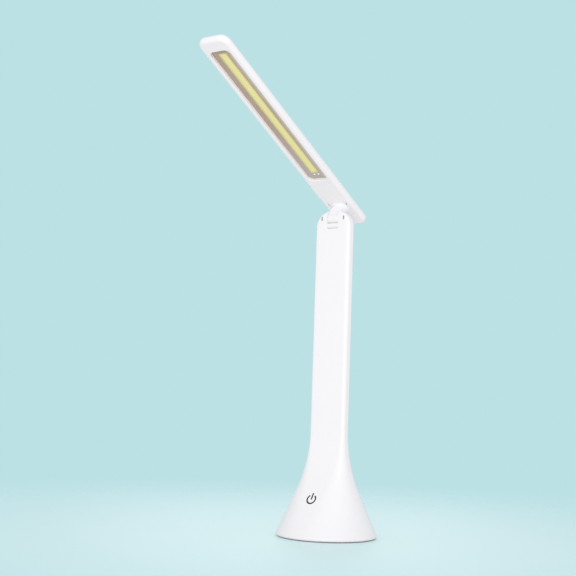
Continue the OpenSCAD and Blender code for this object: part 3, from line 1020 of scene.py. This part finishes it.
    def body(self) -> Piece:
        """Hollow body as one closed surface, from the cavity's top down, round the rim and up.

        Returns:
            The body, before its changes.
        """
        flare = blend(self.flare_z0, self.sweep_z, spread(0.0, 1.0, self.flare_steps))
        inner = np.concatenate([[self.solid_top_z], flare[::-3]])
        mouth = self.section_rings(flare[:1], self.wall)
        mouth[..., 2] = self.rim_gap
        stem = np.linspace(self.sweep_z, self.stem_top - self.crown_r, 8)[1:-1]
        outer = self.section_rings(np.concatenate([flare, stem]))
        return loft("lamp_body", [*self.section_rings(inner, self.wall), *mouth, *self.rim_rings(),
                                  *outer, *self.crown_rings()])

    def roof_height(self, ring: np.ndarray) -> np.ndarray:
        """Height at which each point's vertical meets the middle of the foot's wall, by halving.

        Args:
            ring: Points (n, 2) in the foot.

        Returns:
            Heights (n).
        """
        x, y = np.abs(ring).T
        low, high = np.full_like(x, self.plate_top), np.full_like(x, self.sweep_z)
        for _ in range(30):
            middle = (low + high) / 2
            wide, thick, edge = (size - self.wall / 2 for size in self.half_sizes(middle))
            reach = np.hypot(np.maximum(x - (wide - edge), 0), np.maximum(y - (thick - edge), 0))
            inside = reach < edge
            low, high = np.where(inside, middle, low), np.where(inside, high, middle)
        return low

    def boss(self, name: str, place: Point) -> Piece:
        """Screw boss whose top follows the foot's wall."""
        ring = rounded_ring(self.boss_r, self.boss_r, self.boss_r) + np.array(place[:2])
        return loft(name, [lift(ring, self.plate_top), lift(ring, self.roof_height(ring))])

    def boss_changes(self) -> Changes:
        """Four bosses on a circle, midway between the axes, and their bores.

        Returns:
            The changes, in order.
        """
        turns = [math.radians(45 + 90 * corner) for corner in range(4)]
        ring_r, bore = self.boss_ring_r, [0.0, self.boss_bore_top]
        places = [(ring_r * math.cos(turn), ring_r * math.sin(turn), 0.0) for turn in turns]
        bores = repeated("boss_bores", places, lambda name, place: rod(
            name, self.boss_bore_r, bore, centre=place, axis=Axis.Z))
        return [(Cut.JOIN, repeated("bosses", places, self.boss)), (Cut.AWAY, bores)]

    def screw_places(self) -> list[tuple[float, float, float]]:
        """Points on the axes of the rear cover's four screws.

        Returns:
            The points.
        """
        heights = (self.cover_bottom + self.cover_screw_inset,
                   self.cover_top - self.cover_screw_inset)
        return [(side * self.cover_screw_x, 0.0, z) for side in SIDES for z in heights]

    def at_screws(self, name: str, radius: float, stations: Sequence[float],
                  margins: Sequence[float] = ()) -> Piece:
        """Round bars along Y at the rear cover's screws."""
        return repeated(name, self.screw_places(), lambda part, place: rod(
            part, radius, stations, margins, place))

    def at_clips(self, name: str, height: float, corner: float, surface: float,
                 floor: float) -> Piece:
        """Slots along Y at the two clips, with a lip at the surface.

        Args:
            name: Name of the solid.
            height: Height of a slot.
            corner: Radius of its corners.
            surface: Y of the surface that is cut.
            floor: Y where the slot ends.

        Returns:
            Both slots as one solid.
        """
        places = [(side * self.clip_x, 0.0, self.axis_z) for side in SIDES]
        return repeated(name, places, lambda part, place: prism(
            part, height / 2, self.clip_w / 2, corner,
            *lip_stations(surface, floor, self.lip_r), place))

    def notch_web(self) -> Piece:
        """Web that closes the front notch below the knuckle and rounds back as it goes down.

        Below its straight part, at a turn t, y runs back as 1 - cos t and the height falls as
        sin t.

        Returns:
            The web.
        """
        top, foot = self.axis_z - self.web_drop, self.axis_z - self.front_notch
        turn, under = spread(QUARTER, math.pi, 5), spread(0.0, QUARTER, 10)
        nose = np.column_stack([self.web_top_y + self.web_edge * (1 + np.cos(turn)),
                                top - self.web_edge * (1 - np.sin(turn))])
        back = np.column_stack([blend(self.web_top_y, self.web_foot_y, 1 - np.cos(under)),
                                blend(top - self.web_straight, foot, np.sin(under))])
        low = foot - self.web_sink
        profile = np.vstack([[[self.web_back_y, low], [self.web_back_y, top]], nose, back,
                             [[self.web_foot_y, low]]])
        reach = self.notch_w / 2 + self.web_over
        return loft("notch_web", [lift(profile, x)[:, Axis.X.value] for x in (-reach, reach)])

    def hinge_cuts(self) -> Changes:
        """Notch, knuckle channel, bearings, clip slots and lead bore at the upright's top.

        Returns:
            The changes, in order.
        """
        front_lip = lip_stations(self.front, 0.0, self.notch_lip)
        rear_lip = lip_stations(self.rear, 0.0, self.notch_lip)
        low, top, half = self.axis_z - self.rear_notch, self.stem_top + CLEAR, self.front_notch / 2
        through = prism("notch", (top - low) / 2, self.notch_w / 2, TINY,
                        *([*front, *rear[1:]] for front, rear in zip(front_lip, rear_lip)),
                        (0.0, 0.0, (top + low) / 2))
        shallow = prism("front_notch", half, self.notch_w / 2, self.notch_corner, *front_lip,
                        (0.0, 0.0, self.axis_z - half))
        bores = [rod(name, radius, [-reach, reach], centre=(0.0, 0.0, self.axis_z), axis=Axis.X,
                     steps=steps)
                 for name, radius, reach, steps in (
                     ("channel", self.channel_r, self.notch_w / 2, 24),
                     ("washer_seats", self.washer_r, self.washer_x, 16),
                     ("pin_bores", self.pin_r, self.pin_reach, 8))]
        slots = self.at_clips("clip_slots", self.clip_h, self.clip_w / 2, self.front, 0.0)
        pockets = self.at_clips("clip_pockets", self.clip_pocket_h, self.clip_pocket_corner,
                                self.rear, self.clip_pocket_y)
        leads = rod("lead_bore", self.lead_r, [self.solid_top_z - self.lead_sink, self.axis_z],
                    centre=(0.0, self.lead_y, 0.0), axis=Axis.Z)
        return [(Cut.AWAY, through), (Cut.AWAY, shallow), (Cut.JOIN, self.notch_web()),
                *((Cut.AWAY, solid) for solid in (*bores, slots, pockets, leads))]

    def cover_cuts(self) -> Changes:
        """Stepped opening for the rear cover, with its screw bosses and their bores.

        Returns:
            The changes, in order.
        """
        inner_wall, inset = self.front + self.wall, self.cover_step
        skin = prism("skin_opening", self.cover_half, self.cover_w / 2, self.cover_corner,
                     *lip_stations(self.rear, self.skin_y, self.cover_lip), self.cover_middle)
        step = prism("step_opening", self.cover_half - inset, self.cover_w / 2 - inset,
                     self.cover_step_corner,
                     [self.wall_y - self.cover_step_in, self.skin_y + self.cover_step_out],
                     centre=self.cover_middle)
        bosses = self.at_screws("cover_bosses", self.cover_boss_r,
                                [self.front + self.wall / 2, self.wall_y])
        bores = self.at_screws("cover_bores", self.screw_bore_r, [inner_wall, self.stem_t])
        return [(Cut.AWAY, skin), (Cut.AWAY, step), (Cut.JOIN, bosses), (Cut.AWAY, bores)]

    def port_cuts(self) -> Changes:
        """Slot of the charging port and hole of the light pipe.

        Returns:
            The changes, in order.
        """
        half = self.port_h / 2
        port = prism("port_slot", half, self.port_w / 2, half,
                     [self.port_face_y - self.wall, self.base_d], centre=(0.0, 0.0, self.port_z))
        hole = rod("pipe_hole", self.pipe_r, [self.port_face_y - self.pipe_l, self.base_d],
                   centre=(self.pipe_x, 0.0, self.port_z))
        return [(Cut.AWAY, port), (Cut.AWAY, hole)]

    def build_cover(self) -> Piece:
        """Rear cover: stepped plate with rounded outer edges and four countersunk screw seats.

        Returns:
            The cover.
        """
        edge, gap, turn = self.cover_edge, self.cover_gap, spread(0.0, QUARTER, 5)
        stations = [self.wall_y, self.skin_y, self.skin_y,
                    *(self.rear - edge * (1 - np.sin(turn))), self.rear]
        margins = [-self.cover_step, -self.cover_step, 0.0, *(-edge * (1 - np.cos(turn))),
                   -2 * edge]
        plate = prism("rear_panel", self.cover_half - gap, self.cover_w / 2 - gap,
                      self.cover_corner - gap, stations, margins, self.cover_middle)
        seats = self.at_screws("screw_seats", self.screw_seat_r,
                               *lip_stations(self.rear, self.screw_seat_y, self.cover_lip))
        holes = self.at_screws("screw_holes", self.screw_bore_r + self.screw_play,
                               [0.0, self.rear])
        return carve(plate, [(Cut.AWAY, seats), (Cut.AWAY, holes)])

    def screw(self, name: str, place: Point) -> Piece:
        """Pan-head screw with a cross recess: r cos t and h sin t over its straight side.

        Args:
            name: Name of the piece.
            place: Point on its axis.

        Returns:
            The screw.
        """
        (x, _, z), y0, radius = place, self.screw_seat_y, self.screw_head_r
        rise, tip, shank, point = self.screw_head_h, -self.screw_l, self.screw_r, self.screw_point
        dome = spread(0.0, QUARTER, 6)
        side = rise * self.head_side
        top = zip(radius * np.cos(dome), side + (rise - side) * np.sin(dome))
        profile = [(0.0, tip), (self.screw_tip_r, tip), (shank, tip + point), (shank, 0.0),
                   (radius, 0.0), (radius, side), *top]
        screw = revolve(name, np.array(profile), 40, (x, y0, z), Axis.Y)
        ways = ((self.cross_long, self.cross_short), (self.cross_short, self.cross_long))
        slots = [prism(f"{name}_{number}", *way, self.cross_corner,
                       [y0 + self.cross_floor, y0 + CLEAR], centre=(x, 0.0, z))
                 for number, way in enumerate(ways)]
        return carve(screw, [(Cut.AWAY, slot) for slot in slots])

    def build(self, shop: Workshop) -> None:
        """Builds and dresses the body, the rear cover and its screws.

        Args:
            shop: Dresses the pieces.
        """
        shell = carve(self.body(), [*self.boss_changes(), *self.port_cuts(), *self.cover_cuts(),
                                    *self.hinge_cuts()])
        shop.dress(shell, "white_gloss", "base", "main_shell")
        shop.dress(self.build_cover(), "white_gloss", "base", "rear_cover")
        screws = repeated("cover_screw_set", self.screw_places(), self.screw)
        shop.dress(screws, "steel", "base", "cover_screws")


# ---------------------------------------------------------------- touch symbol, foot and port


@dataclass
class TouchSymbol:
    """Printed power symbol that follows the foot's front."""

    body: FootAndUpright
    centre_z: float = 32.5
    ring_r: float = 4.6
    line: float = 1.3
    gap_angle: float = 35.0
    bar_low: float = -0.2
    bar_high: float = 5.8
    lift: float = 0.01
    thickness: float = 0.06
    soft: float = 0.03

    def stroke(self, name: str, centre: np.ndarray, along: np.ndarray) -> Piece:
        """Flat stroke with softened edges along a line on the front face.

        Across the line the section is a rounded rectangle; a point (x, q) on the flat drawing
        goes to x and to the height c + q cos(lean), and its depth follows the foot's curve there.

        Args:
            name: Name of the piece.
            centre: Points (n, 2) along the stroke's middle.
            along: Directions (n, 2) of the stroke at these points.

        Returns:
            The stroke.
        """
        section = rounded_ring(self.line / 2, self.thickness / 2, self.soft, 3)
        across = np.stack([along[:, 1], -along[:, 0]], axis=-1)
        flat = centre[:, None, :] + across[:, None, :] * section[None, :, :1]
        slope = self.slope()
        height = self.centre_z + flat[..., 1] * math.cos(slope)
        depth = self.body.half_sizes(height)[1]
        rise = section[None, :, 1] + self.thickness / 2 + self.lift
        return loft(name, np.stack([flat[..., 0], -depth - rise * math.cos(slope),
                                    height + rise * math.sin(slope)], axis=-1))

    def slope(self) -> float:
        """Lean of the front face at the symbol, in radians from the vertical."""
        below, above = (self.body.half_sizes(self.centre_z + step)[1] for step in SIDES)
        return math.atan((below - above) / 2.0)

    def build(self, shop: Workshop) -> None:
        """Builds and dresses the open ring and its bar.

        Args:
            shop: Dresses the pieces.
        """
        gap, radius = math.radians(self.gap_angle), self.ring_r - self.line / 2
        turn = spread(QUARTER + gap, math.pi * 5 / 2 - gap, 72)
        run = spread(self.bar_low, self.bar_high, 12)
        still = np.zeros_like(run)
        ring = self.stroke("symbol_ring", radius * np.column_stack([np.cos(turn), np.sin(turn)]),
                           np.column_stack([-np.sin(turn), np.cos(turn)]))
        bar = self.stroke("symbol_bar", np.column_stack([still, run]),
                          np.column_stack([still, still + 1]))
        shop.dress(joined("touch_symbol", [ring, bar]), "icon_ink", "base", "touch_icon")


@dataclass
class FootUnderside:
    """Rubber pad under the foot."""

    pad_r: float = 37.0
    pad_t: float = 1.4
    edge: float = 0.4
    groove_depth: float = 0.25
    groove_radii: tuple = (12.0, 20.0, 28.0, 34.0)
    groove_half: float = 0.6

    def build(self, shop: Workshop) -> None:
        """Pad with a rounded edge and grooves in its underside, each a full cosine wave.

        Args:
            shop: Dresses the piece.
        """
        turn, wave = spread(0.0, QUARTER, 5), spread(0.0, math.pi * 2, 8)
        rise = self.groove_depth * (1 - np.cos(wave)) / 2
        grooves = [np.column_stack([radius + self.groove_half * (wave / math.pi - 1), rise])
                   for radius in self.groove_radii]
        rounded = np.column_stack([self.pad_r - self.edge + self.edge * np.sin(turn),
                                   self.edge * (1 - np.cos(turn))])
        top = [(self.pad_r, self.pad_t - self.edge), (self.pad_r - self.edge / 2, self.pad_t),
               (0.0, self.pad_t)]
        pad = revolve("grip_pad", np.vstack([[(0.0, 0.0)], *grooves, rounded, top]), 144)
        shop.dress(pad, "rubber_pad", "base", "foot_pad")


@dataclass
class ChargingPort:
    """Metal socket shell with its tongue and contacts, set into the foot's rear."""

    width: float = 9.0
    height: float = 3.2
    wall: float = 0.35
    edge: float = 0.15
    mouth_step: float = 0.1
    mouth_draw: float = 0.08
    mouth_wall: float = 0.12
    face_y: float = 35.7
    depth: float = 7.4
    back: float = 1.0
    z: float = 11.9
    tongue_w: float = 6.4
    tongue_t: float = 0.7
    tongue_l: float = 5.0
    tongue_corner: float = 0.2
    tongue_edge: float = 0.3
    contact_w: float = 0.26
    contact_rise: float = 0.03
    contact_inset: float = 0.8
    contact_pitch: float = 0.5
    contacts: int = 12

    def build(self, shop: Workshop) -> None:
        """Builds and dresses the shell, the tongue and the contacts.

        Args:
            shop: Dresses the pieces.
        """
        face, rear, centre = self.face_y, self.face_y - self.depth, (0.0, 0.0, self.z)
        floor, thick = rear + self.back, self.tongue_t / 2
        tip = floor + self.tongue_l
        stations = [rear, rear + self.edge, face - self.mouth_step, face, face,
                    face - self.edge, floor]
        margins = [-self.edge, 0.0, 0.0, -self.mouth_draw, self.mouth_wall - self.wall, -self.wall,
                   -self.wall]
        shell = prism("socket_shell", self.height / 2, self.width / 2, self.height / 2, stations,
                      margins, centre)
        tongue = prism("socket_tongue", thick, self.tongue_w / 2, self.tongue_corner,
                       [floor, tip - self.tongue_edge, tip], [0.0, 0.0, -self.edge], centre)
        row = (np.arange(self.contacts) - (self.contacts - 1) / 2) * self.contact_pitch
        strips = repeated("socket_contacts", [(x, 0.0, self.z) for x in row],
                          lambda name, place: prism(
                              name, thick + self.contact_rise, self.contact_w / 2,
                              self.contact_rise, [floor, tip - self.contact_inset],
                              centre=place, steps=2))
        for piece, slot in ((shell, "steel"), (tongue, "black_plastic"), (strips, "copper")):
            shop.dress(piece, slot, "base", "charging_socket")


# ---------------------------------------------------------------- hinge neck and light bar


@dataclass(frozen=True)
class Outline:
    """Rounded rectangle in the light bar's frame, whose middle lies on the bar's middle line."""

    width: float
    length: float
    corner: float
    middle_y: float
    least_corner: float = 0.02

    def ring(self, height: float, margin: float) -> np.ndarray:
        """Ring at a height, widened by a margin.

        Args:
            height: Height above the bar's underside.
            margin: Widening, or less than 0 to draw it in.

        Returns:
            Points (n, 3).
        """
        corner = max(self.corner + margin, self.least_corner)
        ring = rounded_ring(self.width / 2 + margin, self.length / 2 + margin, corner, 16)
        return lift(ring + np.array([0.0, self.middle_y]), height)


@dataclass
class LightBar:
    """Neck and flat light bar in their own frame: hinge axis at y = 0, underside at h = 0."""

    axis_z: float = 270.0
    tilt: float = 28.8
    neck_rise: float = 12.5
    length: float = 234.0
    width: float = 29.0
    thickness: float = 6.5
    corner_r: float = 8.0
    rear: float = 26.5
    flat_gap: float = 0.4
    seam_h: float = 4.2
    seam_gap: float = 0.06
    seam_depth: float = 0.14
    wall: float = 1.2
    cavity_inset: float = 2.3
    window_l: float = 157.5
    window_w: float = 19.0
    window_r: float = 4.5
    window_start: float = 37.5
    window_depth: float = 2.6
    window_lip: float = 0.8
    curb: float = 1.1
    slit_x: float = 8.9
    slit_y: float = -3.4
    slit_w: float = 1.0
    slit_l: float = 3.6
    slit_r: float = 0.45
    slit_lip: float = 0.25
    knuckle_r: float = 4.3
    knuckle_w: float = 11.2
    neck_t: float = 8.0
    neck_round: float = 0.6
    flare_from: float = 7.4
    flare_power: float = 1.4
    collar_w: float = 15.4
    collar_d: float = 15.6
    collar_y: float = 1.8
    collar_r: float = 6.4
    collar_skirt: float = 0.2
    plug_play: float = 0.1
    strip_w: float = 8.0
    strip_l: float = 146.0
    strip_far_y: float = -191.0
    strip_r: float = 1.5
    dam_w: float = 1.1
    dam_h: float = 0.55
    dam_outer_h: float = 0.25
    dam_bevel: float = 0.08
    dam_shoulder: float = 0.28
    dam_inner_h: float = 0.1
    dam_inner_w: float = 0.05
    soft_crease: float = 60.0
    gel_rise: float = 0.5
    gel_edge: float = 0.15
    solder_x: float = 2.0
    solder_gap: float = 2.0
    solder_r: float = 1.0
    solder_h: float = 0.5

    def __post_init__(self) -> None:
        """Works out the outlines, the round edge, its inset at the seam, and the bar's frame."""
        self.bar = Outline(self.width, self.length, self.corner_r, self.rear - self.length / 2)
        self.window = Outline(self.window_w, self.window_l, self.window_r,
                              -self.window_start - self.window_l / 2)
        self.strip = Outline(self.strip_w, self.strip_l, self.strip_r,
                             self.strip_far_y + self.strip_l / 2)
        self.edge_r = self.thickness / 2
        self.seam_inset = (self.edge_r - math.sqrt(self.edge_r ** 2
                                                   - (self.seam_h - self.edge_r) ** 2))
        self.frame = (Matrix.Translation((0.0, 0.0, self.axis_z * MM))
                      @ Matrix.Rotation(math.radians(-self.tilt), 4, "X")
                      @ Matrix.Translation((0.0, 0.0, self.neck_rise * MM)))

    def edge_rings(self, low: float, high: float, count: int) -> list[np.ndarray]:
        """Rings up the bar's round edge: at a turn t, height r - r cos t and inset r - r sin t.

        Args:
            low: Height of the first ring.
            high: Height of the last ring.
            count: Number of rings.

        Returns:
            The rings.
        """
        radius = self.edge_r
        first, last = (math.acos(1 - height / radius) for height in (low, high))
        return [self.bar.ring(radius * (1 - math.cos(turn)), radius * (math.sin(turn) - 1))
                for turn in np.linspace(first, last, count)]

    def build_housing(self) -> Piece:
        """Lower shell: opening with a rounded lip and a curb, flat underside, edge and cavity.

        Returns:
            The shell, in the bar's own frame.
        """
        bar, window, lip = self.bar.ring, self.window.ring, self.window_lip
        rings = [window(lip * (1 - math.sin(turn)), lip * (1 - math.cos(turn)))
                 for turn in spread(0.0, QUARTER, 7)]
        rings += [window(0.0, lip + self.flat_gap), bar(0.0, -self.edge_r - self.flat_gap),
                  *self.edge_rings(0.0, self.seam_h - self.seam_gap, 15),
                  bar(self.seam_h, -self.seam_inset - self.seam_depth),
                  bar(self.seam_h, -self.cavity_inset), bar(self.wall, -self.cavity_inset),
                  window(self.wall, self.curb), window(self.window_depth, self.curb),
                  window(self.window_depth, 0.0)]
        places, sides = lip_stations(0.0, self.wall + CLEAR, self.slit_lip)
        slits = [prism(f"slit_{side}", self.slit_w / 2, self.slit_l / 2, self.slit_r, places,
                       sides, (side * self.slit_x, self.slit_y, 0.0), Axis.Z) for side in SIDES]
        return carve(loft("bar_lower_shell", rings, closed=True),
                     [(Cut.AWAY, slit) for slit in slits])

    def build_cover(self) -> Piece:
        """Upper shell: ceiling and wall of the cavity, seam, round edge and flat top.

        Returns:
            The shell, in the bar's own frame.
        """
        bar = self.bar.ring
        rings = [bar(self.thickness - self.wall, -self.cavity_inset),
                 bar(self.seam_h, -self.cavity_inset),
                 bar(self.seam_h, -self.seam_inset - self.seam_depth),
                 *self.edge_rings(self.seam_h + self.seam_gap, self.thickness, 12),
                 bar(self.thickness, -self.edge_r - self.flat_gap)]
        return loft("bar_upper_shell", rings)

    def neck_ring(self, z: float, half_x: float, half_y: float, corner: float,
                  centre_y: float = 0.0) -> np.ndarray:
        """Rounded rectangle at a height above the hinge axis."""
        ring = rounded_ring(half_x, half_y, corner, 8) + np.array([0.0, centre_y])
        return lift(ring, z - self.neck_rise)

    def build_neck(self) -> Piece:
        """Neck as rounded rectangles carried up the bar's normal.

        Below, the half depth is sqrt(r^2 - z^2), which makes the knuckle; above, half width, half
        depth and centre swell with a power of the height into the collar, and the corners with
        them.

        Returns:
            The neck, in the bar's own frame.
        """
        round_off, half_w, half_t = self.neck_round, self.knuckle_w / 2, self.neck_t / 2
        collar_x, collar_y, skirt = self.collar_w / 2, self.collar_d / 2, self.collar_skirt
        rings = []
        for turn in np.linspace(0.0, math.pi - math.asin(half_t / self.knuckle_r), 20):
            z, depth = -self.knuckle_r * math.cos(turn), self.knuckle_r * math.sin(turn)
            short = max(round_off - (z + self.knuckle_r), 0.0)
            draw_in = round_off - math.sqrt(round_off ** 2 - short ** 2)
            depth = max(depth, TINY)
            rings.append(self.neck_ring(z, half_w - draw_in, depth, min(round_off, depth)))
        for share in spread(0.0, 1.0, 14):
            swell = share ** self.flare_power
            rings.append(self.neck_ring(
                blend(self.flare_from, self.neck_rise - skirt, share),
                blend(half_w, collar_x, swell), blend(half_t, collar_y, swell),
                blend(round_off, self.collar_r, min(1.0, 2 * swell)), self.collar_y * swell))
        rings.append(self.neck_ring(self.neck_rise, collar_x + skirt, collar_y + skirt,
                                    self.collar_r, self.collar_y))
        rings += [self.neck_ring(self.neck_rise + rise, half_w - self.plug_play,
                                 half_t - self.plug_play, round_off) for rise in (0.0, self.wall)]
        return loft("neck", rings)

    def build_dam(self) -> Piece:
        """Silicone dam round the strip, with softened edges.

        Returns:
            The dam, in the bar's own frame.
        """
        base, top, inner = self.window_depth, self.window_depth - self.dam_h, -self.dam_w
        bevel, shoulder = self.dam_bevel, self.dam_shoulder
        section = [(base, 0.0), (top + self.dam_outer_h, 0.0), (top + bevel, -bevel),
                   (top, -shoulder), (top, inner + shoulder),
                   (top + self.dam_inner_h, inner + self.dam_inner_w), (base, inner)]
        rings = [self.strip.ring(height, margin) for height, margin in section]
        return loft("strip_dam", rings[::-1], closed=True, crease=self.soft_crease)

    def build_bead(self) -> Piece:
        """Domed bead in the dam: at a turn t the rise goes as sin t, the inset as 1 - cos t.

        Returns:
            The bead, in the bar's own frame.
        """
        base, edge, inner = self.window_depth, self.gel_edge, -self.dam_w
        reach, rise = self.strip_w / 2 - self.dam_w - edge, self.gel_rise - edge
        rings = [self.strip.ring(base, inner)]
        rings += [self.strip.ring(base - edge - rise * math.sin(turn),
                                  inner - reach * (1 - math.cos(turn)))
                  for turn in spread(0.0, QUARTER, 8)]
        return loft("strip_bead", rings[::-1], crease=self.soft_crease)

    def build_solder(self) -> Piece:
        """Two domed joints at the near end.

        Returns:
            The joints, in the bar's own frame.
        """
        turn, base = spread(0.0, QUARTER, 7), self.window_depth
        near_y = self.strip_far_y + self.strip_l + self.solder_gap
        dome = zip(self.solder_r * np.sin(turn), base - self.solder_h * np.cos(turn))
        profile = np.array([*dome, (0.0, base)])
        places = [(side * self.solder_x, near_y, 0.0) for side in SIDES]
        return repeated("solder_joints", places,
                        lambda name, place: revolve(name, profile, 28, place))

    def build(self, shop: Workshop) -> None:
        """Builds the neck, the two shells, the strip and the solder, tilts and dresses them.

        Args:
            shop: Dresses the pieces.
        """
        for piece, slot, node, finish in (
                (self.build_neck(), "white_gloss", "hinge_neck", None),
                (self.build_housing(), "white_gloss", "head_housing", None),
                (self.build_cover(), "white_gloss", "head_cover", None),
                (self.build_dam(), "phosphor", "phosphor_strip", "dam_silicone"),
                (self.build_bead(), "phosphor", "phosphor_strip", None),
                (self.build_solder(), "solder", "solder_pads", None)):
            piece.data.transform(self.frame)
            shop.dress(piece, slot, "head", node, finish)


# ---------------------------------------------------------------- studio


def turned(first: np.ndarray, second: np.ndarray, angle: float) -> tuple[np.ndarray, np.ndarray]:
    """Two directions turned in their plane, the first towards the second, by degrees."""
    cosine, sine = math.cos(math.radians(angle)), math.sin(math.radians(angle))
    return first * cosine + second * sine, second * cosine - first * sine


def aim(thing: Piece, right: np.ndarray, up: np.ndarray, back: np.ndarray, place: Point) -> None:
    """Puts a camera or lamp at a place, with its own axes along right, up and back."""
    rows = [[right[i], up[i], back[i], place[i]] for i in range(3)]
    thing.matrix_world = Matrix([*rows, [0, 0, 0, 1]])


@dataclass
class Studio:
    """Pale floor, soft light, and the camera at the photograph's viewing angle."""

    focal_px: float = 1178.758
    image_px: float = 576.0
    sensor_mm: float = 36.0
    distance: float = 1006.8391
    around: float = 34.11
    height: float = 122.4622
    yaw: float = -2.2104
    pitch: float = 4.9119
    roll: float = 1.8685
    backdrop: tuple = (188, 225, 229)
    floor_seen: tuple = (226, 250, 253)
    bounce: tuple = (238, 236, 234)
    floor_reach: float = 0.9
    floor_fade: float = 0.63
    floor_rows: int = 12
    world_light: float = 0.78
    lamp_target: tuple = (0.0, -0.03, 0.19)
    lamps: tuple = (("key_light", (1.0, -1.25, 0.5), 0.8, 4.4),
                    ("low_light", (0.6, -1.2, 0.1), 0.6, 3.0),
                    ("back_light", (-0.9, 1.2, 0.5), 0.8, 2.5))

    def build_camera(self) -> None:
        """Camera that fits the photograph's frame: turned about up, then right, then forward."""
        turn = math.radians(self.around)
        out = np.array([math.sin(turn), -math.cos(turn), 0.0])
        right, up = np.array([math.cos(turn), math.sin(turn), 0.0]), np.array([0.0, 0.0, 1.0])
        place = (out * self.distance + up * self.height) * MM
        forward, right = turned(-out, right, self.yaw)
        forward, up = turned(forward, up, self.pitch)
        right, up = turned(right, up, self.roll)
        data = bpy.data.cameras.new("camera")
        data.sensor_width = self.sensor_mm
        data.lens = self.focal_px / self.image_px * self.sensor_mm
        camera = linked("camera", data)
        aim(camera, right, up, -forward, place)
        bpy.context.scene.camera = camera
        LOG.info("camera: lens of %.1f mm", data.lens)

    def build_world(self) -> None:
        """Neutral white light, seen as the pale backdrop by the camera and in gloss and glass."""
        world = bpy.data.worlds.new("studio")
        world.use_nodes = True
        world.node_tree.nodes.clear()
        bpy.context.scene.world = world
        tree = Tree(world.node_tree)
        light, view = (tree.add("ShaderNodeBackground", {"Color": colour, "Strength": strength})
                       for colour, strength in (((1.0, 1.0, 1.0, 1.0), self.world_light),
                                                (linear(self.backdrop), 1.0)))
        both = tree.add("ShaderNodeMixShader", {0: tree.seen(), 1: light.outputs[0],
                                                2: view.outputs[0]})
        tree.add("ShaderNodeOutputWorld", {0: both.outputs[0]})

    def build_floor(self) -> None:
        """Round floor that fades into the backdrop away from the lamp."""
        ring = rounded_ring(1.0, 1.0, 1.0, 24)
        reaches = self.floor_reach / MM * np.linspace(0.0, 1.0, self.floor_rows)
        faces = loft_faces(self.floor_rows, len(ring), closed=False)[:-2]
        floor = new_piece("floor", np.stack([lift(ring * reach, 0.0) for reach in reaches]), faces)
        material, tree, shader = new_material("floor_finish")
        place = tree.place()
        paper = tree.remap(tree.noise(place, 400.0), 0.3, 0.7, 0.99, 1.0)
        tint = tree.mix(paper, (0.0, 0.0, 0.0, 1.0), linear(self.floor_seen))
        reach = tree.add("ShaderNodeVectorMath", {0: place}, operation="LENGTH").outputs["Value"]
        tree.fill(shader, {"Base Color": tree.mix(tree.seen(), linear(self.bounce), tint),
                           "Alpha": tree.remap(reach, 0.0, self.floor_fade, 1.0, 0.0),
                           "Roughness": 0.6, "Specular IOR Level": 0.2})
        floor.data.materials.append(material)

    def add_lamp(self, name: str, place: Point, size: float, power: float) -> None:
        """Soft square lamp that looks at the middle of the desk lamp's height.

        Args:
            name: Name of the lamp.
            place: Place in metres.
            size: Side in metres.
            power: Power in watts.
        """
        data = bpy.data.lights.new(name, "AREA")
        data.shape, data.size, data.energy = "SQUARE", size, power
        back = np.array(place) - np.array(self.lamp_target)
        back /= np.linalg.norm(back)
        right = np.cross([0.0, 0.0, 1.0], back)
        right /= np.linalg.norm(right)
        aim(linked(name, data), right, np.cross(back, right), back, place)

    def build(self) -> None:
        """Camera, world, floor and lamps."""
        self.build_camera()
        self.build_world()
        self.build_floor()
        for lamp in self.lamps:
            self.add_lamp(*lamp)
        bpy.context.scene.view_settings.view_transform = "Standard"


def main() -> None:
    """Builds the lamp part by part, then the studio."""
    logging.basicConfig(level=logging.INFO, format="%(name)s: %(message)s")
    shop = Workshop()
    body = FootAndUpright()
    for part in (body, TouchSymbol(body), FootUnderside(), ChargingPort(), LightBar()):
        part.build(shop)
    shop.dress_nodes()
    Studio().build()


if __name__ == "__main__":
    main()
